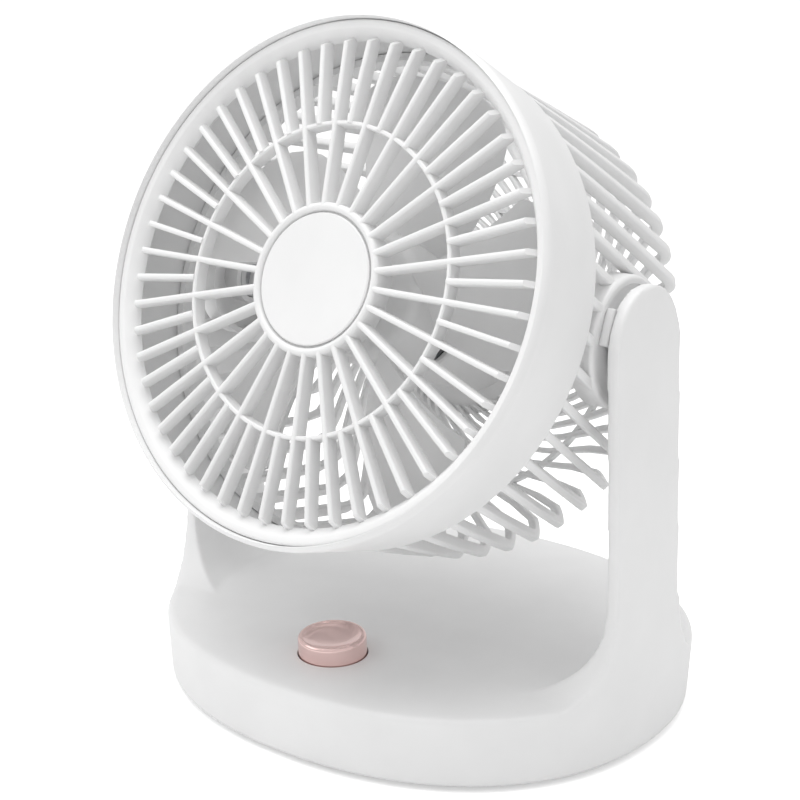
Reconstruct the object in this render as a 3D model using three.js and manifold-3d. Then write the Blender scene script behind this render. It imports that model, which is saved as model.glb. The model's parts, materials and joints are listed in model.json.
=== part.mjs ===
// Desk fan: an oval base whose side walls rise as two arms, a round head that tilts between them,
// a motor with an impeller inside the head, and one push knob on the base.
// Millimetres, +Z up, the fan faces -Y, the feet stand on z = 0.
import * as THREE from "three";
import { mergeVertices } from "three/addons/utils/BufferGeometryUtils.js";
import Module from "manifold-3d";

// ---------- driving dimensions ----------
const HEAD_RADIUS = 94.5; // front rim of the barrel
const HEAD_TILT = THREE.MathUtils.degToRad(21.3); // how far the head looks up at rest
const PIVOT_Y = -6.5;
const BASE_HALF_DEPTH = 92;
const BASE_RIM_HEIGHT = 28.6;
const PIVOT_CLEAR = 28.8; // from the base's rim up to the turning head
const PIVOT_HEIGHT = BASE_RIM_HEIGHT + HEAD_RADIUS + PIVOT_CLEAR;
const RIB_PAIRS = 26; // each pair is one long and one short rib
const GUARD_BARS = 48;
const BLADES = 5;

// ---------- clearances ----------
const GAP = 0.3; // between pieces that touch in the real fan
const RUNNING_GAP = 0.4; // between pieces that move past each other

// ---------- head, lengths along its own axis from the pivot, forward positive ----------
const AXIS_DROP = 2.3; // how far the head's axis passes below the pivot
const FRONT = 65.6; // front of the rim
const BARREL_REAR = 27.9;
const BARREL_REAR_RADIUS = HEAD_RADIUS - 3;
const BARREL_WALL = 2.3;
const RIM_ROUND = 3.5;
const RIM_LIP_ANGLE = THREE.MathUtils.degToRad(55); // where the rounded rim passes to the grille ring
const SEAT_DEPTH = 11.5; // how deep the grille ring sits in the barrel
const SEAT_LEDGE = 2.3;
const GRILLE_RADIUS = HEAD_RADIUS - 2.3;
const FACE_SINK = 2.4; // how far the grille's face lies behind the rim's front
const GRILLE_RING_WIDTH = 5.8;
const GRILLE_DEPTH = 8.8;
const DOME_RISE = 1.2; // how far the middle of the grille stands in front of its edge
const RIB_WIDTH = 1.9;
const RIB_DEPTH = 6.4;
const RIB_CHAMFER = 0.6;
const RIB_TIP = 3.4; // length of the slope at a rib's outer end
const RIB_TIP_DROP = 3;
const MID_RING_RADIUS = 55.3;
const MID_RING_WIDTH = 1.8;
const HUB_RADIUS = 26.8;
const HUB_WALL = 2.4;
const HUB_DEPTH = 9.7;
const HUB_RIM_WIDTH = 2.7;
const HUB_PLATE = 2;
const BADGE_THICKNESS = 1;
const BADGE_DISH = 0.5;

// ---------- rear guard ----------
const GUARD_RADIUS = BARREL_REAR_RADIUS - 0.3;
const GUARD_BACK = -43;
const GUARD_CORNER = 10;
const GUARD_RING_WIDTH = 2.8;
const BAR_WIDTH = 3.2; // along the side
const BAR_INNER_WIDTH = 1.5; // where it meets the motor plate
const BAR_DEPTH = 4.6;
const SIDE_LEAN = THREE.MathUtils.degToRad(-9); // turn of a bar from the barrel to the corner
const BACK_SWIRL = THREE.MathUtils.degToRad(-62); // turn of a bar from the corner to the motor plate
const SWIRL_EASE = 1.5; // above 1, a bar leaves the corner straight and turns more further in
const GUARD_HUB_RADIUS = 33;
const GUARD_PLATE = 2.8;
const POD_RADIUS = 23.5;
const POD_FACE = HEAD_RADIUS - 3.7;
const POD_DEPTH = 9;
const POD_WALL = 2.2;
const CONDUIT_HEIGHT = 14;
const CONDUIT_BACK = -12;
const CONDUIT_FRONT = 3;
const CONDUIT_WALL = 1.6;

// ---------- motor and impeller ----------
const MOTOR_RADIUS = 22;
const MOTOR_WALL = 1.2;
const MOTOR_FRONT = 2;
const SHROUD_WALL = 2;
const SHAFT_RADIUS = 1.5;
const SHAFT_FRONT = 37;
const BEARING_RADIUS = 4.5;
const BEARING_WIDTH = 4;
const BOSS_WALL = 1.7;
const MAGNET_THICKNESS = 3;
const CORE_RADIUS = 14;
const IMPELLER_HUB_RADIUS = 25;
const IMPELLER_BACK = 9.5;
const IMPELLER_FRONT = 37;
const IMPELLER_WALL = 2;
const BLADE_RADIUS = HEAD_RADIUS - 12;
const BLADE_THICKNESS = 1.8;
const BLADE_SPREAD = THREE.MathUtils.degToRad(52); // angle that one blade covers
const BLADE_PITCH = 26; // front to back of a blade at its root
const CAP_RADIUS = 6;
const CAP_LENGTH = 6;

// ---------- arms and pivots ----------
const ARM_HALF_WIDTH = 21;
const ARM_THICKNESS = 4.8;
const ARM_DRAFT = 6.3; // how far the arms lean in over their height
const SIDE_GAP = 3.4; // from a pod's face to an arm that stands upright
const BASE_HALF_WIDTH = POD_FACE + SIDE_GAP + ARM_THICKNESS + ARM_DRAFT;
const FLARE_HEIGHT = 66; // where an arm's edges start to widen
const FLARE_REACH = 27;
const ARM_BOSS_RADIUS = 14;
const PIN_RADIUS = 5;
const PIN_BORE = 3.4;
const PIN_INNER_END = POD_FACE - POD_DEPTH + 0.7;
const PIN_PLAY = 2; // room behind the right pin, where the leads turn in
const BUSH_WALL = 2.6;
const CHANNEL_FLOOR = 1.7; // wall between the lead channel and the arm's outer face
const CHANNEL_DEPTH = 1.7;
const CHANNEL_WIDTH = 8;
const COVER_WIDTH = 12;
const COVER_THICKNESS = 0.9;
const COVER_LENGTH = 32;
const LEAD_RADIUS = 0.5;
const LEAD_SPACING = 1.5; // of each lead from the middle of the channel

// ---------- base ----------
const OVAL_POWER = 2.2; // 2 is an ellipse
const ARM_POWER = 5; // the arms' tops are nearly flat
const BASE_BOTTOM = 2;
const BASE_CROWN = 1.2; // how far the middle of the top is above the rim
const BASE_WALL = 2.6;
const BASE_FOOT_INSET = 2.4;
const BASE_EDGE_ROUND = 3;
const FILLET_HEIGHT = 30;
const FILLET_REACH = 20;
const COVER_BOTTOM = 1.2;
const COVER_PLATE = 2.6;
const FOOT_RADIUS = 7;
const FOOT_HEIGHT = 2.1;
const FOOT_X = 66;
const FOOT_Y = BASE_HALF_DEPTH - 36;
const SCREW_INSET = 15; // from a foot towards the middle
const SCREW_SHANK = 1.3;
const SCREW_HEAD = 2.8;
const SCREW_HEAD_HEIGHT = 1.4;
const SCREW_LENGTH = 12;
const POST_RADIUS = 4;
const BOARD_WIDTH = 60;
const BOARD_DEPTH = 36;
const BOARD_Z = 14;
const BOARD_THICKNESS = 1.6;
const BOARD_SCREW_X = 24;
const SWITCH_SIDE = 8;
const SWITCH_HEIGHT = 4;
const INLET_WIDTH = 10;
const INLET_HEIGHT = 5;
const INLET_DEPTH = 12;
const INLET_WALL = 1;
const INLET_Z = 12;

// ---------- knob ----------
const KNOB_Y = 34.3 - BASE_HALF_DEPTH;
const KNOB_RADIUS = 12.8;
const KNOB_HEIGHT = 7.4; // above the base
const KNOB_LEAN = THREE.MathUtils.degToRad(3); // forward, about square to the crowned top
const KNOB_ROUND = 1.2;
const KNOB_DISH = 0.9;
const KNOB_FLANGE = 1.5;
const KNOB_FLANGE_DEPTH = 1.2;
const KNOB_TRAVEL = 1.5;
const KNOB_STEM_RADIUS = 3;

// ---------- mesh fineness ----------
const FINE = 2 * RIB_PAIRS;
const MEDIUM = 20;
const COARSE = 8;
const WIRE_SIDES = 6;

const wasm = await Module();
wasm.setup();

// A closed three.js geometry as a manifold solid, turned to face out when its profile ran the other way.
function solid(geometry) {
  const bare = geometry.index ? geometry.toNonIndexed() : geometry.clone();
  bare.deleteAttribute("normal");
  bare.deleteAttribute("uv");
  const merged = mergeVertices(bare, 1e-4);
  const index = merged.index.array;
  const kept = [];
  for (let i = 0; i < index.length; i += 3) {
    const [a, b, c] = [index[i], index[i + 1], index[i + 2]];
    if (a !== b && b !== c && a !== c) kept.push(a, b, c);
  }
  const build = (triangles) =>
    new wasm.Manifold(
      new wasm.Mesh({
        numProp: 3,
        vertProperties: merged.attributes.position.array,
        triVerts: new Uint32Array(triangles),
      }),
    );
  const made = build(kept);
  if (made.volume() >= 0) return made;
  const turned = [];
  for (let i = 0; i < kept.length; i += 3) turned.push(kept[i], kept[i + 2], kept[i + 1]);
  return build(turned);
}

function geometryOf(manifold) {
  const mesh = manifold.getMesh();
  const positions = new Float32Array(mesh.numVert * 3);
  for (let i = 0; i < mesh.numVert; i++) {
    positions.set(mesh.vertProperties.subarray(i * mesh.numProp, i * mesh.numProp + 3), i * 3);
  }
  return new THREE.BufferGeometry()
    .setAttribute("position", new THREE.BufferAttribute(positions, 3))
    .setIndex(new THREE.BufferAttribute(mesh.triVerts, 1));
}

const union = (solids) => solids.reduce((whole, piece) => whole.add(piece));
const cut = (whole, solids) => solids.reduce((left, piece) => left.subtract(piece), whole);

// ---------- solids from simple shapes ----------
// A round solid about the z axis. Its flats, not its edges, face the ribs and bars that join it.
function lathe(profile, segments = FINE) {
  const points = profile.map(([r, z]) => new THREE.Vector2(r, z));
  const start = segments % 4 ? 0 : Math.PI / segments;
  return solid(new THREE.LatheGeometry(points, segments, start).rotateX(Math.PI / 2));
}

// A ring between two radii, square in section, from one height to another.
function tubeZ(inner, outer, low, high, segments = FINE) {
  const profile = [
    [inner, low],
    [outer, low],
    [outer, high],
    [inner, high],
    [inner, low],
  ];
  return lathe(profile, segments);
}

function rodZ(radius, low, high, segments = COARSE) {
  const profile = [
    [0, low],
    [radius, low],
    [radius, high],
    [0, high],
  ];
  return lathe(profile, segments);
}

function box(x0, x1, y0, y1, z0, z1) {
  const geometry = new THREE.BoxGeometry(x1 - x0, y1 - y0, z1 - z0);
  return solid(geometry.translate((x0 + x1) / 2, (y0 + y1) / 2, (z0 + z1) / 2));
}

// A solid through rings of points, each ring with the same number of points, closed by flat ends.
function throughRings(rings) {
  const count = rings[0].length;
  const vertices = rings.flat().flatMap((p) => [p.x, p.y, p.z]);
  const index = [];
  for (let r = 0; r < rings.length - 1; r++) {
    for (let i = 0; i < count; i++) {
      const a = r * count + i;
      const b = r * count + ((i + 1) % count);
      index.push(a, b, b + count, a, b + count, a + count);
    }
  }
  // Each end is closed by a strip across it, which suits round and crescent sections alike.
  const last = (rings.length - 1) * count;
  for (let i = 0; i < count / 2 - 1; i++) {
    const [a, b, c, d] = [i, i + 1, count - 2 - i, count - 1 - i];
    index.push(a, c, b, a, d, c);
    index.push(last + a, last + b, last + c, last + a, last + c, last + d);
  }
  const geometry = new THREE.BufferGeometry();
  geometry.setAttribute("position", new THREE.Float32BufferAttribute(vertices, 3));
  geometry.setIndex(index);
  return solid(geometry);
}

// A round wire along a smooth curve, with the same number of steps between each two of its points.
function wire(points, radius, stepsEach) {
  const curve = new THREE.CatmullRomCurve3(points, false, "centripetal");
  const steps = stepsEach * (points.length - 1);
  let normal = new THREE.Vector3(0, 0, 1);
  const rings = [];
  for (let s = 0; s <= steps; s++) {
    const centre = curve.getPoint(s / steps);
    const tangent = curve.getTangent(s / steps);
    normal = normal.clone().addScaledVector(tangent, -normal.dot(tangent)).normalize();
    const binormal = tangent.clone().cross(normal);
    const ring = [];
    for (let i = 0; i < WIRE_SIDES; i++) {
      const angle = (2 * Math.PI * i) / WIRE_SIDES;
      ring.push(
        centre
          .clone()
          .addScaledVector(normal, radius * Math.cos(angle))
          .addScaledVector(binormal, radius * Math.sin(angle)),
      );
    }
    rings.push(ring);
  }
  return throughRings(rings);
}

const turnToX = new THREE.Matrix4().makeRotationY(Math.PI / 2);
const rows = (matrix) => matrix.elements;
const alongX = (manifold) => manifold.transform(rows(turnToX)); // +Z becomes +X
const moved = (manifold, x, y, z) => manifold.translate([x, y, z]);
const mirrored = (manifold) => manifold.mirror([1, 0, 0]);
const arc = (cr, cz, radius, from, to, steps) =>
  Array.from({ length: steps + 1 }, (_, i) => {
    const angle = from + ((to - from) * i) / steps;
    return [cr + radius * Math.cos(angle), cz + radius * Math.sin(angle)];
  });

// ---------- the fan's frame ----------
// The head's own frame has x to the fan's right, y up its face and z forward along its axis.
const rimReach = HEAD_RADIUS - RIM_ROUND;
const rimAhead = FRONT - RIM_ROUND;
const lowestFront = rimAhead * Math.cos(HEAD_TILT) + (rimReach + AXIS_DROP) * Math.sin(HEAD_TILT);
const frontY = PIVOT_Y - lowestFront - RIM_ROUND;
const centreY = -(frontY + BASE_HALF_DEPTH) / 2; // moves the middle of the whole fan to y = 0
const fan = new THREE.Group();
const stand = new THREE.Group();
stand.position.y = centreY;
const head = new THREE.Group();
head.position.set(0, PIVOT_Y, PIVOT_HEIGHT);
head.rotation.x = Math.PI / 2 - HEAD_TILT;
stand.add(head);
const core = new THREE.Group(); // the round pieces, all about the head's own axis
core.position.y = -AXIS_DROP;
head.add(core);
fan.add(stand);

const COLOURS = {
  plastic: 0xeceded,
  inner: 0xe4e5e6,
  metal: 0xb9bcc0,
  copper: 0xd9aaa2,
  rubber: 0x3a3a3c,
  board: 0x2f6b45,
  dark: 0x2b2b2d,
  red: 0xb3342c,
};

function add(group, name, manifold, colour = "plastic") {
  const metallic = colour === "metal" || colour === "copper";
  const material = new THREE.MeshStandardMaterial({
    color: COLOURS[colour],
    metalness: metallic ? 1 : 0,
    roughness: metallic ? 0.25 : 0.45,
  });
  const mesh = new THREE.Mesh(geometryOf(manifold), material);
  mesh.name = name;
  group.add(mesh);
}

// ---------- barrel ----------
const seatFloor = FRONT - SEAT_DEPTH;
const lipRadius = GRILLE_RADIUS + GAP;

function makeBarrel() {
  const ledge = lipRadius - SEAT_LEDGE;
  return lathe([
    [BARREL_REAR_RADIUS - BARREL_WALL, BARREL_REAR],
    [BARREL_REAR_RADIUS, BARREL_REAR],
    ...arc(HEAD_RADIUS - RIM_ROUND, FRONT - RIM_ROUND, RIM_ROUND, 0, RIM_LIP_ANGLE, 3),
    [lipRadius, seatFloor],
    [ledge, seatFloor],
    [ledge, seatFloor - BARREL_WALL],
    [BARREL_REAR_RADIUS - BARREL_WALL, BARREL_REAR],
  ]);
}

// ---------- front grille ----------
const face = FRONT - FACE_SINK; // front of the grille
const domeAt = (r) => face + DOME_RISE * (0.1 - (r / HEAD_RADIUS) ** 2);

function makeRib(inner, angle) {
  const outer = GRILLE_RADIUS - GRILLE_RING_WIDTH + RIB_WIDTH / 2;
  const half = RIB_WIDTH / 2;
  const section = (r, front) =>
    [
      [-half, face - RIB_DEPTH],
      [half, face - RIB_DEPTH],
      [half - RIB_CHAMFER / 2, front],
      [RIB_CHAMFER / 2 - half, front],
    ].map(([across, z]) => new THREE.Vector3(r, across, z));
  const rings = [
    section(inner, domeAt(inner)),
    section(outer - RIB_TIP, domeAt(outer)),
    section(outer, domeAt(outer) - RIB_TIP_DROP),
  ];
  const turn = new THREE.Matrix4().makeRotationZ(angle);
  return throughRings(rings).transform(rows(turn));
}

function makeGrille() {
  const inner = GRILLE_RADIUS - GRILLE_RING_WIDTH;
  const back = seatFloor + GAP;
  const ring = lathe([
    [inner + RIB_WIDTH, back],
    [GRILLE_RADIUS, back],
    [GRILLE_RADIUS, face - 0.3 * RIM_ROUND],
    [GRILLE_RADIUS - 2 * RIB_CHAMFER, face],
    [inner + RIB_WIDTH, face - RIB_CHAMFER],
    [inner, face - RIB_DEPTH],
    [inner + RIB_WIDTH, back],
  ]);
  const midInner = MID_RING_RADIUS - MID_RING_WIDTH / 2;
  const midFront = domeAt(MID_RING_RADIUS);
  const mid = tubeZ(midInner, midInner + MID_RING_WIDTH, face - RIB_DEPTH, midFront, FINE);
  const hubFront = face + RIB_CHAMFER;
  const recess = HUB_RADIUS - HUB_RIM_WIDTH;
  const plateFront = hubFront - HUB_PLATE;
  const cup = lathe(
    [
      [0, plateFront - HUB_PLATE],
      [HUB_RADIUS - HUB_WALL, plateFront - HUB_PLATE],
      [HUB_RADIUS - HUB_WALL, hubFront - HUB_DEPTH],
      [HUB_RADIUS, hubFront - HUB_DEPTH],
      [HUB_RADIUS, hubFront - 2 * RIB_CHAMFER],
      [HUB_RADIUS - RIB_CHAMFER, hubFront - GAP],
      [HUB_RADIUS - HUB_RIM_WIDTH / 2, hubFront],
      [recess + GAP, hubFront - GAP],
      [recess, hubFront - 2 * GAP],
      [recess, plateFront],
      [0, plateFront],
    ],
    RIB_PAIRS,
  );
  const pieces = [ring, mid, cup];
  for (let i = 0; i < RIB_PAIRS; i++) {
    const angle = (2 * Math.PI * i) / RIB_PAIRS;
    pieces.push(makeRib(HUB_RADIUS - HUB_WALL / 2, angle));
    pieces.push(makeRib(MID_RING_RADIUS, angle + Math.PI / RIB_PAIRS));
  }
  return union(pieces);
}

function makeBadge() {
  const back = face + RIB_CHAMFER - HUB_PLATE + GAP;
  const radius = HUB_RADIUS - HUB_RIM_WIDTH - GAP;
  return lathe(
    [
      [0, back],
      [radius, back],
      [radius, back + BADGE_THICKNESS],
      [radius - HUB_PLATE, back + BADGE_THICKNESS],
      [radius / 2, back + BADGE_THICKNESS - BADGE_DISH / 2],
      [0, back + BADGE_THICKNESS - BADGE_DISH],
    ],
    RIB_PAIRS,
  );
}

// ---------- rear guard ----------
// One bar: it starts inside the barrel, runs back along the side, rounds the corner and swirls
// over the back to the motor plate. Each station is a radius, a height and the way it faces out.
function makeBar(index) {
  const cornerZ = GUARD_BACK + GUARD_CORNER;
  const cornerR = GUARD_RADIUS - GUARD_CORNER - 1;
  const side = [
    { r: GUARD_RADIUS, z: BARREL_REAR - RUNNING_GAP, facing: 0, turn: 0, width: BAR_WIDTH },
    { r: GUARD_RADIUS - 1, z: cornerZ, facing: 0, turn: SIDE_LEAN, width: BAR_WIDTH },
  ];
  const corner = [1, 2].map((step) => {
    const facing = (Math.PI / 4) * step;
    return {
      r: cornerR + GUARD_CORNER * Math.cos(facing),
      z: cornerZ - GUARD_CORNER * Math.sin(facing),
      facing,
      turn: SIDE_LEAN * (1 + 0.1 * step),
      width: BAR_WIDTH,
    };
  });
  const back = [1, 2, 3].map((step) => {
    const share = step / 3;
    return {
      r: cornerR + (GUARD_HUB_RADIUS - GUARD_PLATE - cornerR) * share,
      z: GUARD_BACK,
      facing: Math.PI / 2,
      turn: SIDE_LEAN * 1.2 + BACK_SWIRL * share ** SWIRL_EASE,
      width: BAR_WIDTH + (BAR_INNER_WIDTH - BAR_WIDTH) * share,
    };
  });
  const stations = [...side, ...corner, ...back];
  const start = (2 * Math.PI * index) / GUARD_BARS;
  const place = ({ r, z, turn }) => {
    const angle = start + turn;
    return new THREE.Vector3(r * Math.cos(angle), r * Math.sin(angle), z);
  };
  const centres = stations.map(place);
  const rings = stations.map(({ facing, turn, width }, i) => {
    const angle = start + turn;
    const radial = new THREE.Vector3(Math.cos(angle), Math.sin(angle), 0);
    const out = radial.multiplyScalar(Math.cos(facing));
    out.z -= Math.sin(facing);
    const next = centres[Math.min(i + 1, centres.length - 1)];
    const before = centres[Math.max(i - 1, 0)];
    const along = next.clone().sub(before).normalize();
    const across = along.clone().cross(out).normalize();
    const corners = [
      [-0.5, 1],
      [0.5, 1],
      [0.3, 0],
      [-0.3, 0],
    ];
    return corners.map(([side, deep]) =>
      centres[i]
        .clone()
        .addScaledVector(across, side * width)
        .addScaledVector(out, -deep * BAR_DEPTH),
    );
  });
  return throughRings(rings);
}

function makePod() {
  const inner = POD_FACE - POD_DEPTH;
  const boss = PIN_RADIUS + RUNNING_GAP + BUSH_WALL + GAP;
  const cup = lathe(
    [
      [boss, inner],
      [boss + POD_WALL, inner],
      [boss + POD_WALL, POD_FACE - POD_WALL],
      [POD_RADIUS - POD_WALL, POD_FACE - POD_WALL],
      [POD_RADIUS - POD_WALL, inner],
      [POD_RADIUS, inner],
      [POD_RADIUS, POD_FACE - POD_WALL],
      [POD_RADIUS - RIB_CHAMFER, POD_FACE - RIB_CHAMFER],
      [POD_RADIUS - POD_WALL, POD_FACE],
      [boss, POD_FACE],
      [boss, inner],
    ],
    MEDIUM,
  );
  return moved(alongX(cup), 0, AXIS_DROP, 0);
}

function makeRearGuard() {
  const bars = [];
  for (let i = 0; i < GUARD_BARS; i++) bars.push(makeBar(i));
  const podRod = alongX(rodZ(POD_RADIUS - POD_WALL / 2, -HEAD_RADIUS, HEAD_RADIUS, MEDIUM));
  const podRoom = moved(podRod, 0, AXIS_DROP, 0);
  const middleRoom = rodZ(GUARD_HUB_RADIUS, GUARD_BACK - 1, BARREL_REAR, MEDIUM);
  const cage = cut(union(bars), [cut(podRoom, [middleRoom])]);
  const inside = BARREL_REAR_RADIUS - BARREL_WALL - GAP;
  const collar = tubeZ(
    inside - GUARD_RING_WIDTH,
    inside,
    BARREL_REAR - RUNNING_GAP - GUARD_RING_WIDTH / 2,
    BARREL_REAR + 2 * GUARD_RING_WIDTH,
    GUARD_BARS,
  );
  const shroudInner = MOTOR_RADIUS + GAP;
  const plate = lathe(
    [
      [BEARING_RADIUS, GUARD_BACK + GUARD_PLATE],
      [shroudInner, GUARD_BACK + GUARD_PLATE],
      [shroudInner, MOTOR_FRONT],
      [shroudInner + SHROUD_WALL, MOTOR_FRONT],
      [shroudInner + SHROUD_WALL, GUARD_BACK + GUARD_PLATE],
      [GUARD_HUB_RADIUS, GUARD_BACK + GUARD_PLATE],
      [GUARD_HUB_RADIUS, GUARD_BACK],
      [BEARING_RADIUS, GUARD_BACK],
      [BEARING_RADIUS, GUARD_BACK + GUARD_PLATE],
    ],
    GUARD_BARS,
  );
  const pod = makePod();
  const reach = POD_FACE - POD_DEPTH + POD_WALL;
  const [low, high] = [AXIS_DROP - CONDUIT_HEIGHT / 2, AXIS_DROP + CONDUIT_HEIGHT / 2];
  const channel = box(shroudInner + 1, reach, low, high, CONDUIT_BACK, CONDUIT_FRONT);
  const bore = box(
    shroudInner - 2,
    reach + 1,
    low + CONDUIT_WALL,
    high - CONDUIT_WALL,
    CONDUIT_BACK - 1,
    CONDUIT_FRONT - CONDUIT_WALL,
  );
  const shroudRoom = rodZ(shroudInner, GUARD_BACK + GUARD_PLATE, BARREL_REAR, MEDIUM);
  const bossRod = rodZ(
    PIN_RADIUS + RUNNING_GAP + BUSH_WALL + GAP,
    POD_FACE - POD_DEPTH - 1,
    POD_FACE + 1,
    MEDIUM,
  );
  const bossRoom = moved(alongX(bossRod), 0, AXIS_DROP, 0);
  const quarter = CONDUIT_HEIGHT / 4;
  const strut = box(-reach, -shroudInner - 1, low + quarter, high - quarter, CONDUIT_BACK, MOTOR_FRONT);
  const barrelRoom = rodZ(HEAD_RADIUS + POD_WALL, BARREL_REAR - RUNNING_GAP, FRONT, MEDIUM);
  const pods = cut(pod.add(mirrored(pod)), [barrelRoom]);
  const whole = union([cage, collar, plate, pods, strut, channel]);
  return cut(whole, [
    bore,
    shroudRoom,
    bossRoom,
    mirrored(bossRoom),
    ...motorScrewPlaces.map(([x, y]) =>
      moved(rodZ(SCREW_SHANK + GAP, GUARD_BACK - 1, MOTOR_FRONT), x, y, 0),
    ),
    ...motorScrewPlaces.map(([x, y]) =>
      moved(rodZ(SCREW_HEAD + GAP, GUARD_BACK - 1, GUARD_BACK + SCREW_HEAD_HEIGHT), x, y, 0),
    ),
  ]);
}

// ---------- motor ----------
const motorBack = GUARD_BACK + GUARD_PLATE + GAP;
const motorScrewPlaces = [0, 1, 2].map((i) => {
  const angle = Math.PI / 2 + (2 * Math.PI * i) / 3;
  const radius = MOTOR_RADIUS / 2 + 2;
  return [radius * Math.cos(angle), radius * Math.sin(angle)];
});

function makeMotorCan() {
  const seat = BEARING_RADIUS + GAP;
  const can = lathe(
    [
      [SHAFT_RADIUS + 1, motorBack],
      [MOTOR_RADIUS, motorBack],
      [MOTOR_RADIUS, MOTOR_FRONT - MOTOR_WALL - GAP],
      [MOTOR_RADIUS - MOTOR_WALL, MOTOR_FRONT - MOTOR_WALL - GAP],
      [MOTOR_RADIUS - MOTOR_WALL, motorBack + MOTOR_WALL],
      [seat + BOSS_WALL, motorBack + MOTOR_WALL],
      [seat + BOSS_WALL, motorBack + MOTOR_WALL + BEARING_WIDTH + GAP],
      [seat, motorBack + MOTOR_WALL + BEARING_WIDTH + GAP],
      [seat, motorBack + MOTOR_WALL],
      [SHAFT_RADIUS + 1, motorBack + MOTOR_WALL],
      [SHAFT_RADIUS + 1, motorBack],
    ],
    MEDIUM,
  );
  const holes = motorScrewPlaces.map(([x, y]) =>
    moved(rodZ(SCREW_SHANK + GAP, motorBack - 1, motorBack + 2 * MOTOR_WALL), x, y, 0),
  );
  return cut(can, holes);
}

function makeMotorCap() {
  const seat = BEARING_RADIUS + GAP;
  const back = MOTOR_FRONT - MOTOR_WALL;
  return lathe(
    [
      [SHAFT_RADIUS + 1, back],
      [seat, back],
      [seat, back - BEARING_WIDTH],
      [seat + BOSS_WALL, back - BEARING_WIDTH],
      [seat + BOSS_WALL, back],
      [MOTOR_RADIUS, back],
      [MOTOR_RADIUS, MOTOR_FRONT],
      [SHAFT_RADIUS + 1, MOTOR_FRONT],
      [SHAFT_RADIUS + 1, back],
    ],
    MEDIUM,
  );
}

const makeBearing = (low) => tubeZ(SHAFT_RADIUS + GAP, BEARING_RADIUS, low, low + BEARING_WIDTH, COARSE);

function makeMagnet() {
  const outer = MOTOR_RADIUS - MOTOR_WALL - GAP;
  const low = motorBack + MOTOR_WALL + BEARING_WIDTH;
  return tubeZ(outer - MAGNET_THICKNESS, outer, low, MOTOR_FRONT - 2 * BEARING_WIDTH, MEDIUM);
}

function makeCore() {
  const low = motorBack + MOTOR_WALL + 2 * BEARING_WIDTH;
  return tubeZ(SHAFT_RADIUS + GAP, CORE_RADIUS, low, MOTOR_FRONT - 3 * BEARING_WIDTH, MEDIUM);
}

function makeMotorScrew([x, y]) {
  const head = rodZ(SCREW_HEAD, GUARD_BACK + GAP / 2, GUARD_BACK + SCREW_HEAD_HEIGHT - GAP);
  const shank = rodZ(SCREW_SHANK, GUARD_BACK + GAP, motorBack + MOTOR_WALL + GAP);
  return moved(head.add(shank), x, y, 0);
}

// ---------- impeller ----------
function makeBlade(index) {
  const start = (2 * Math.PI * index) / BLADES;
  const middle = (IMPELLER_BACK + IMPELLER_FRONT) / 2 + 1;
  const shares = [0, 1 / 3, 2 / 3, 1];
  const rings = shares.map((share) => {
    const r = IMPELLER_HUB_RADIUS - IMPELLER_WALL / 2 + (BLADE_RADIUS - IMPELLER_HUB_RADIUS) * share;
    const spread = BLADE_SPREAD * (1 - 0.12 * share);
    const pitch = BLADE_PITCH * (1 - 0.25 * share);
    const sweep = 0.22 * share;
    const cross = [-0.5, -0.17, 0.17, 0.5].map((t) => {
      const angle = start + sweep + spread * t;
      const camber = (0.25 - t * t) * 9;
      return [angle, middle + pitch * t + camber];
    });
    const at = ([angle, z], lift) => new THREE.Vector3(r * Math.cos(angle), r * Math.sin(angle), z + lift);
    const front = cross.map((p) => at(p, BLADE_THICKNESS / 2));
    const back = [...cross].reverse().map((p) => at(p, -BLADE_THICKNESS / 2));
    return [...front, ...back];
  });
  return throughRings(rings);
}

function makeImpeller() {
  const bore = SHAFT_RADIUS + GAP;
  const boss = bore + IMPELLER_WALL + 1;
  const hub = lathe(
    [
      [bore, IMPELLER_BACK],
      [boss, IMPELLER_BACK],
      [boss, IMPELLER_FRONT - 2 * IMPELLER_WALL],
      [IMPELLER_HUB_RADIUS - 2 * IMPELLER_WALL, IMPELLER_FRONT - 3 * IMPELLER_WALL],
      [IMPELLER_HUB_RADIUS - IMPELLER_WALL, IMPELLER_FRONT - 5 * IMPELLER_WALL],
      [IMPELLER_HUB_RADIUS - IMPELLER_WALL, IMPELLER_BACK],
      [IMPELLER_HUB_RADIUS, IMPELLER_BACK],
      [IMPELLER_HUB_RADIUS, IMPELLER_FRONT - 4 * IMPELLER_WALL],
      [IMPELLER_HUB_RADIUS - IMPELLER_WALL, IMPELLER_FRONT - 2 * IMPELLER_WALL],
      [IMPELLER_HUB_RADIUS - 3 * IMPELLER_WALL, IMPELLER_FRONT - IMPELLER_WALL / 2],
      [CAP_RADIUS + 1, IMPELLER_FRONT - IMPELLER_WALL / 2],
      [bore, IMPELLER_FRONT - IMPELLER_WALL / 2],
      [bore, IMPELLER_BACK],
    ],
    MEDIUM,
  );
  const blades = [];
  for (let i = 0; i < BLADES; i++) blades.push(makeBlade(i));
  return union([hub, ...blades]);
}

function makeImpellerCap() {
  const back = IMPELLER_FRONT - IMPELLER_WALL / 2 + GAP;
  const bore = SHAFT_RADIUS + GAP;
  return lathe(
    [
      [0, SHAFT_FRONT + GAP],
      [bore, SHAFT_FRONT + GAP],
      [bore, back],
      [CAP_RADIUS, back],
      [CAP_RADIUS, back + CAP_LENGTH - 2],
      [CAP_RADIUS - 2, back + CAP_LENGTH],
      [0, back + CAP_LENGTH],
    ],
    COARSE,
  );
}

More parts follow.
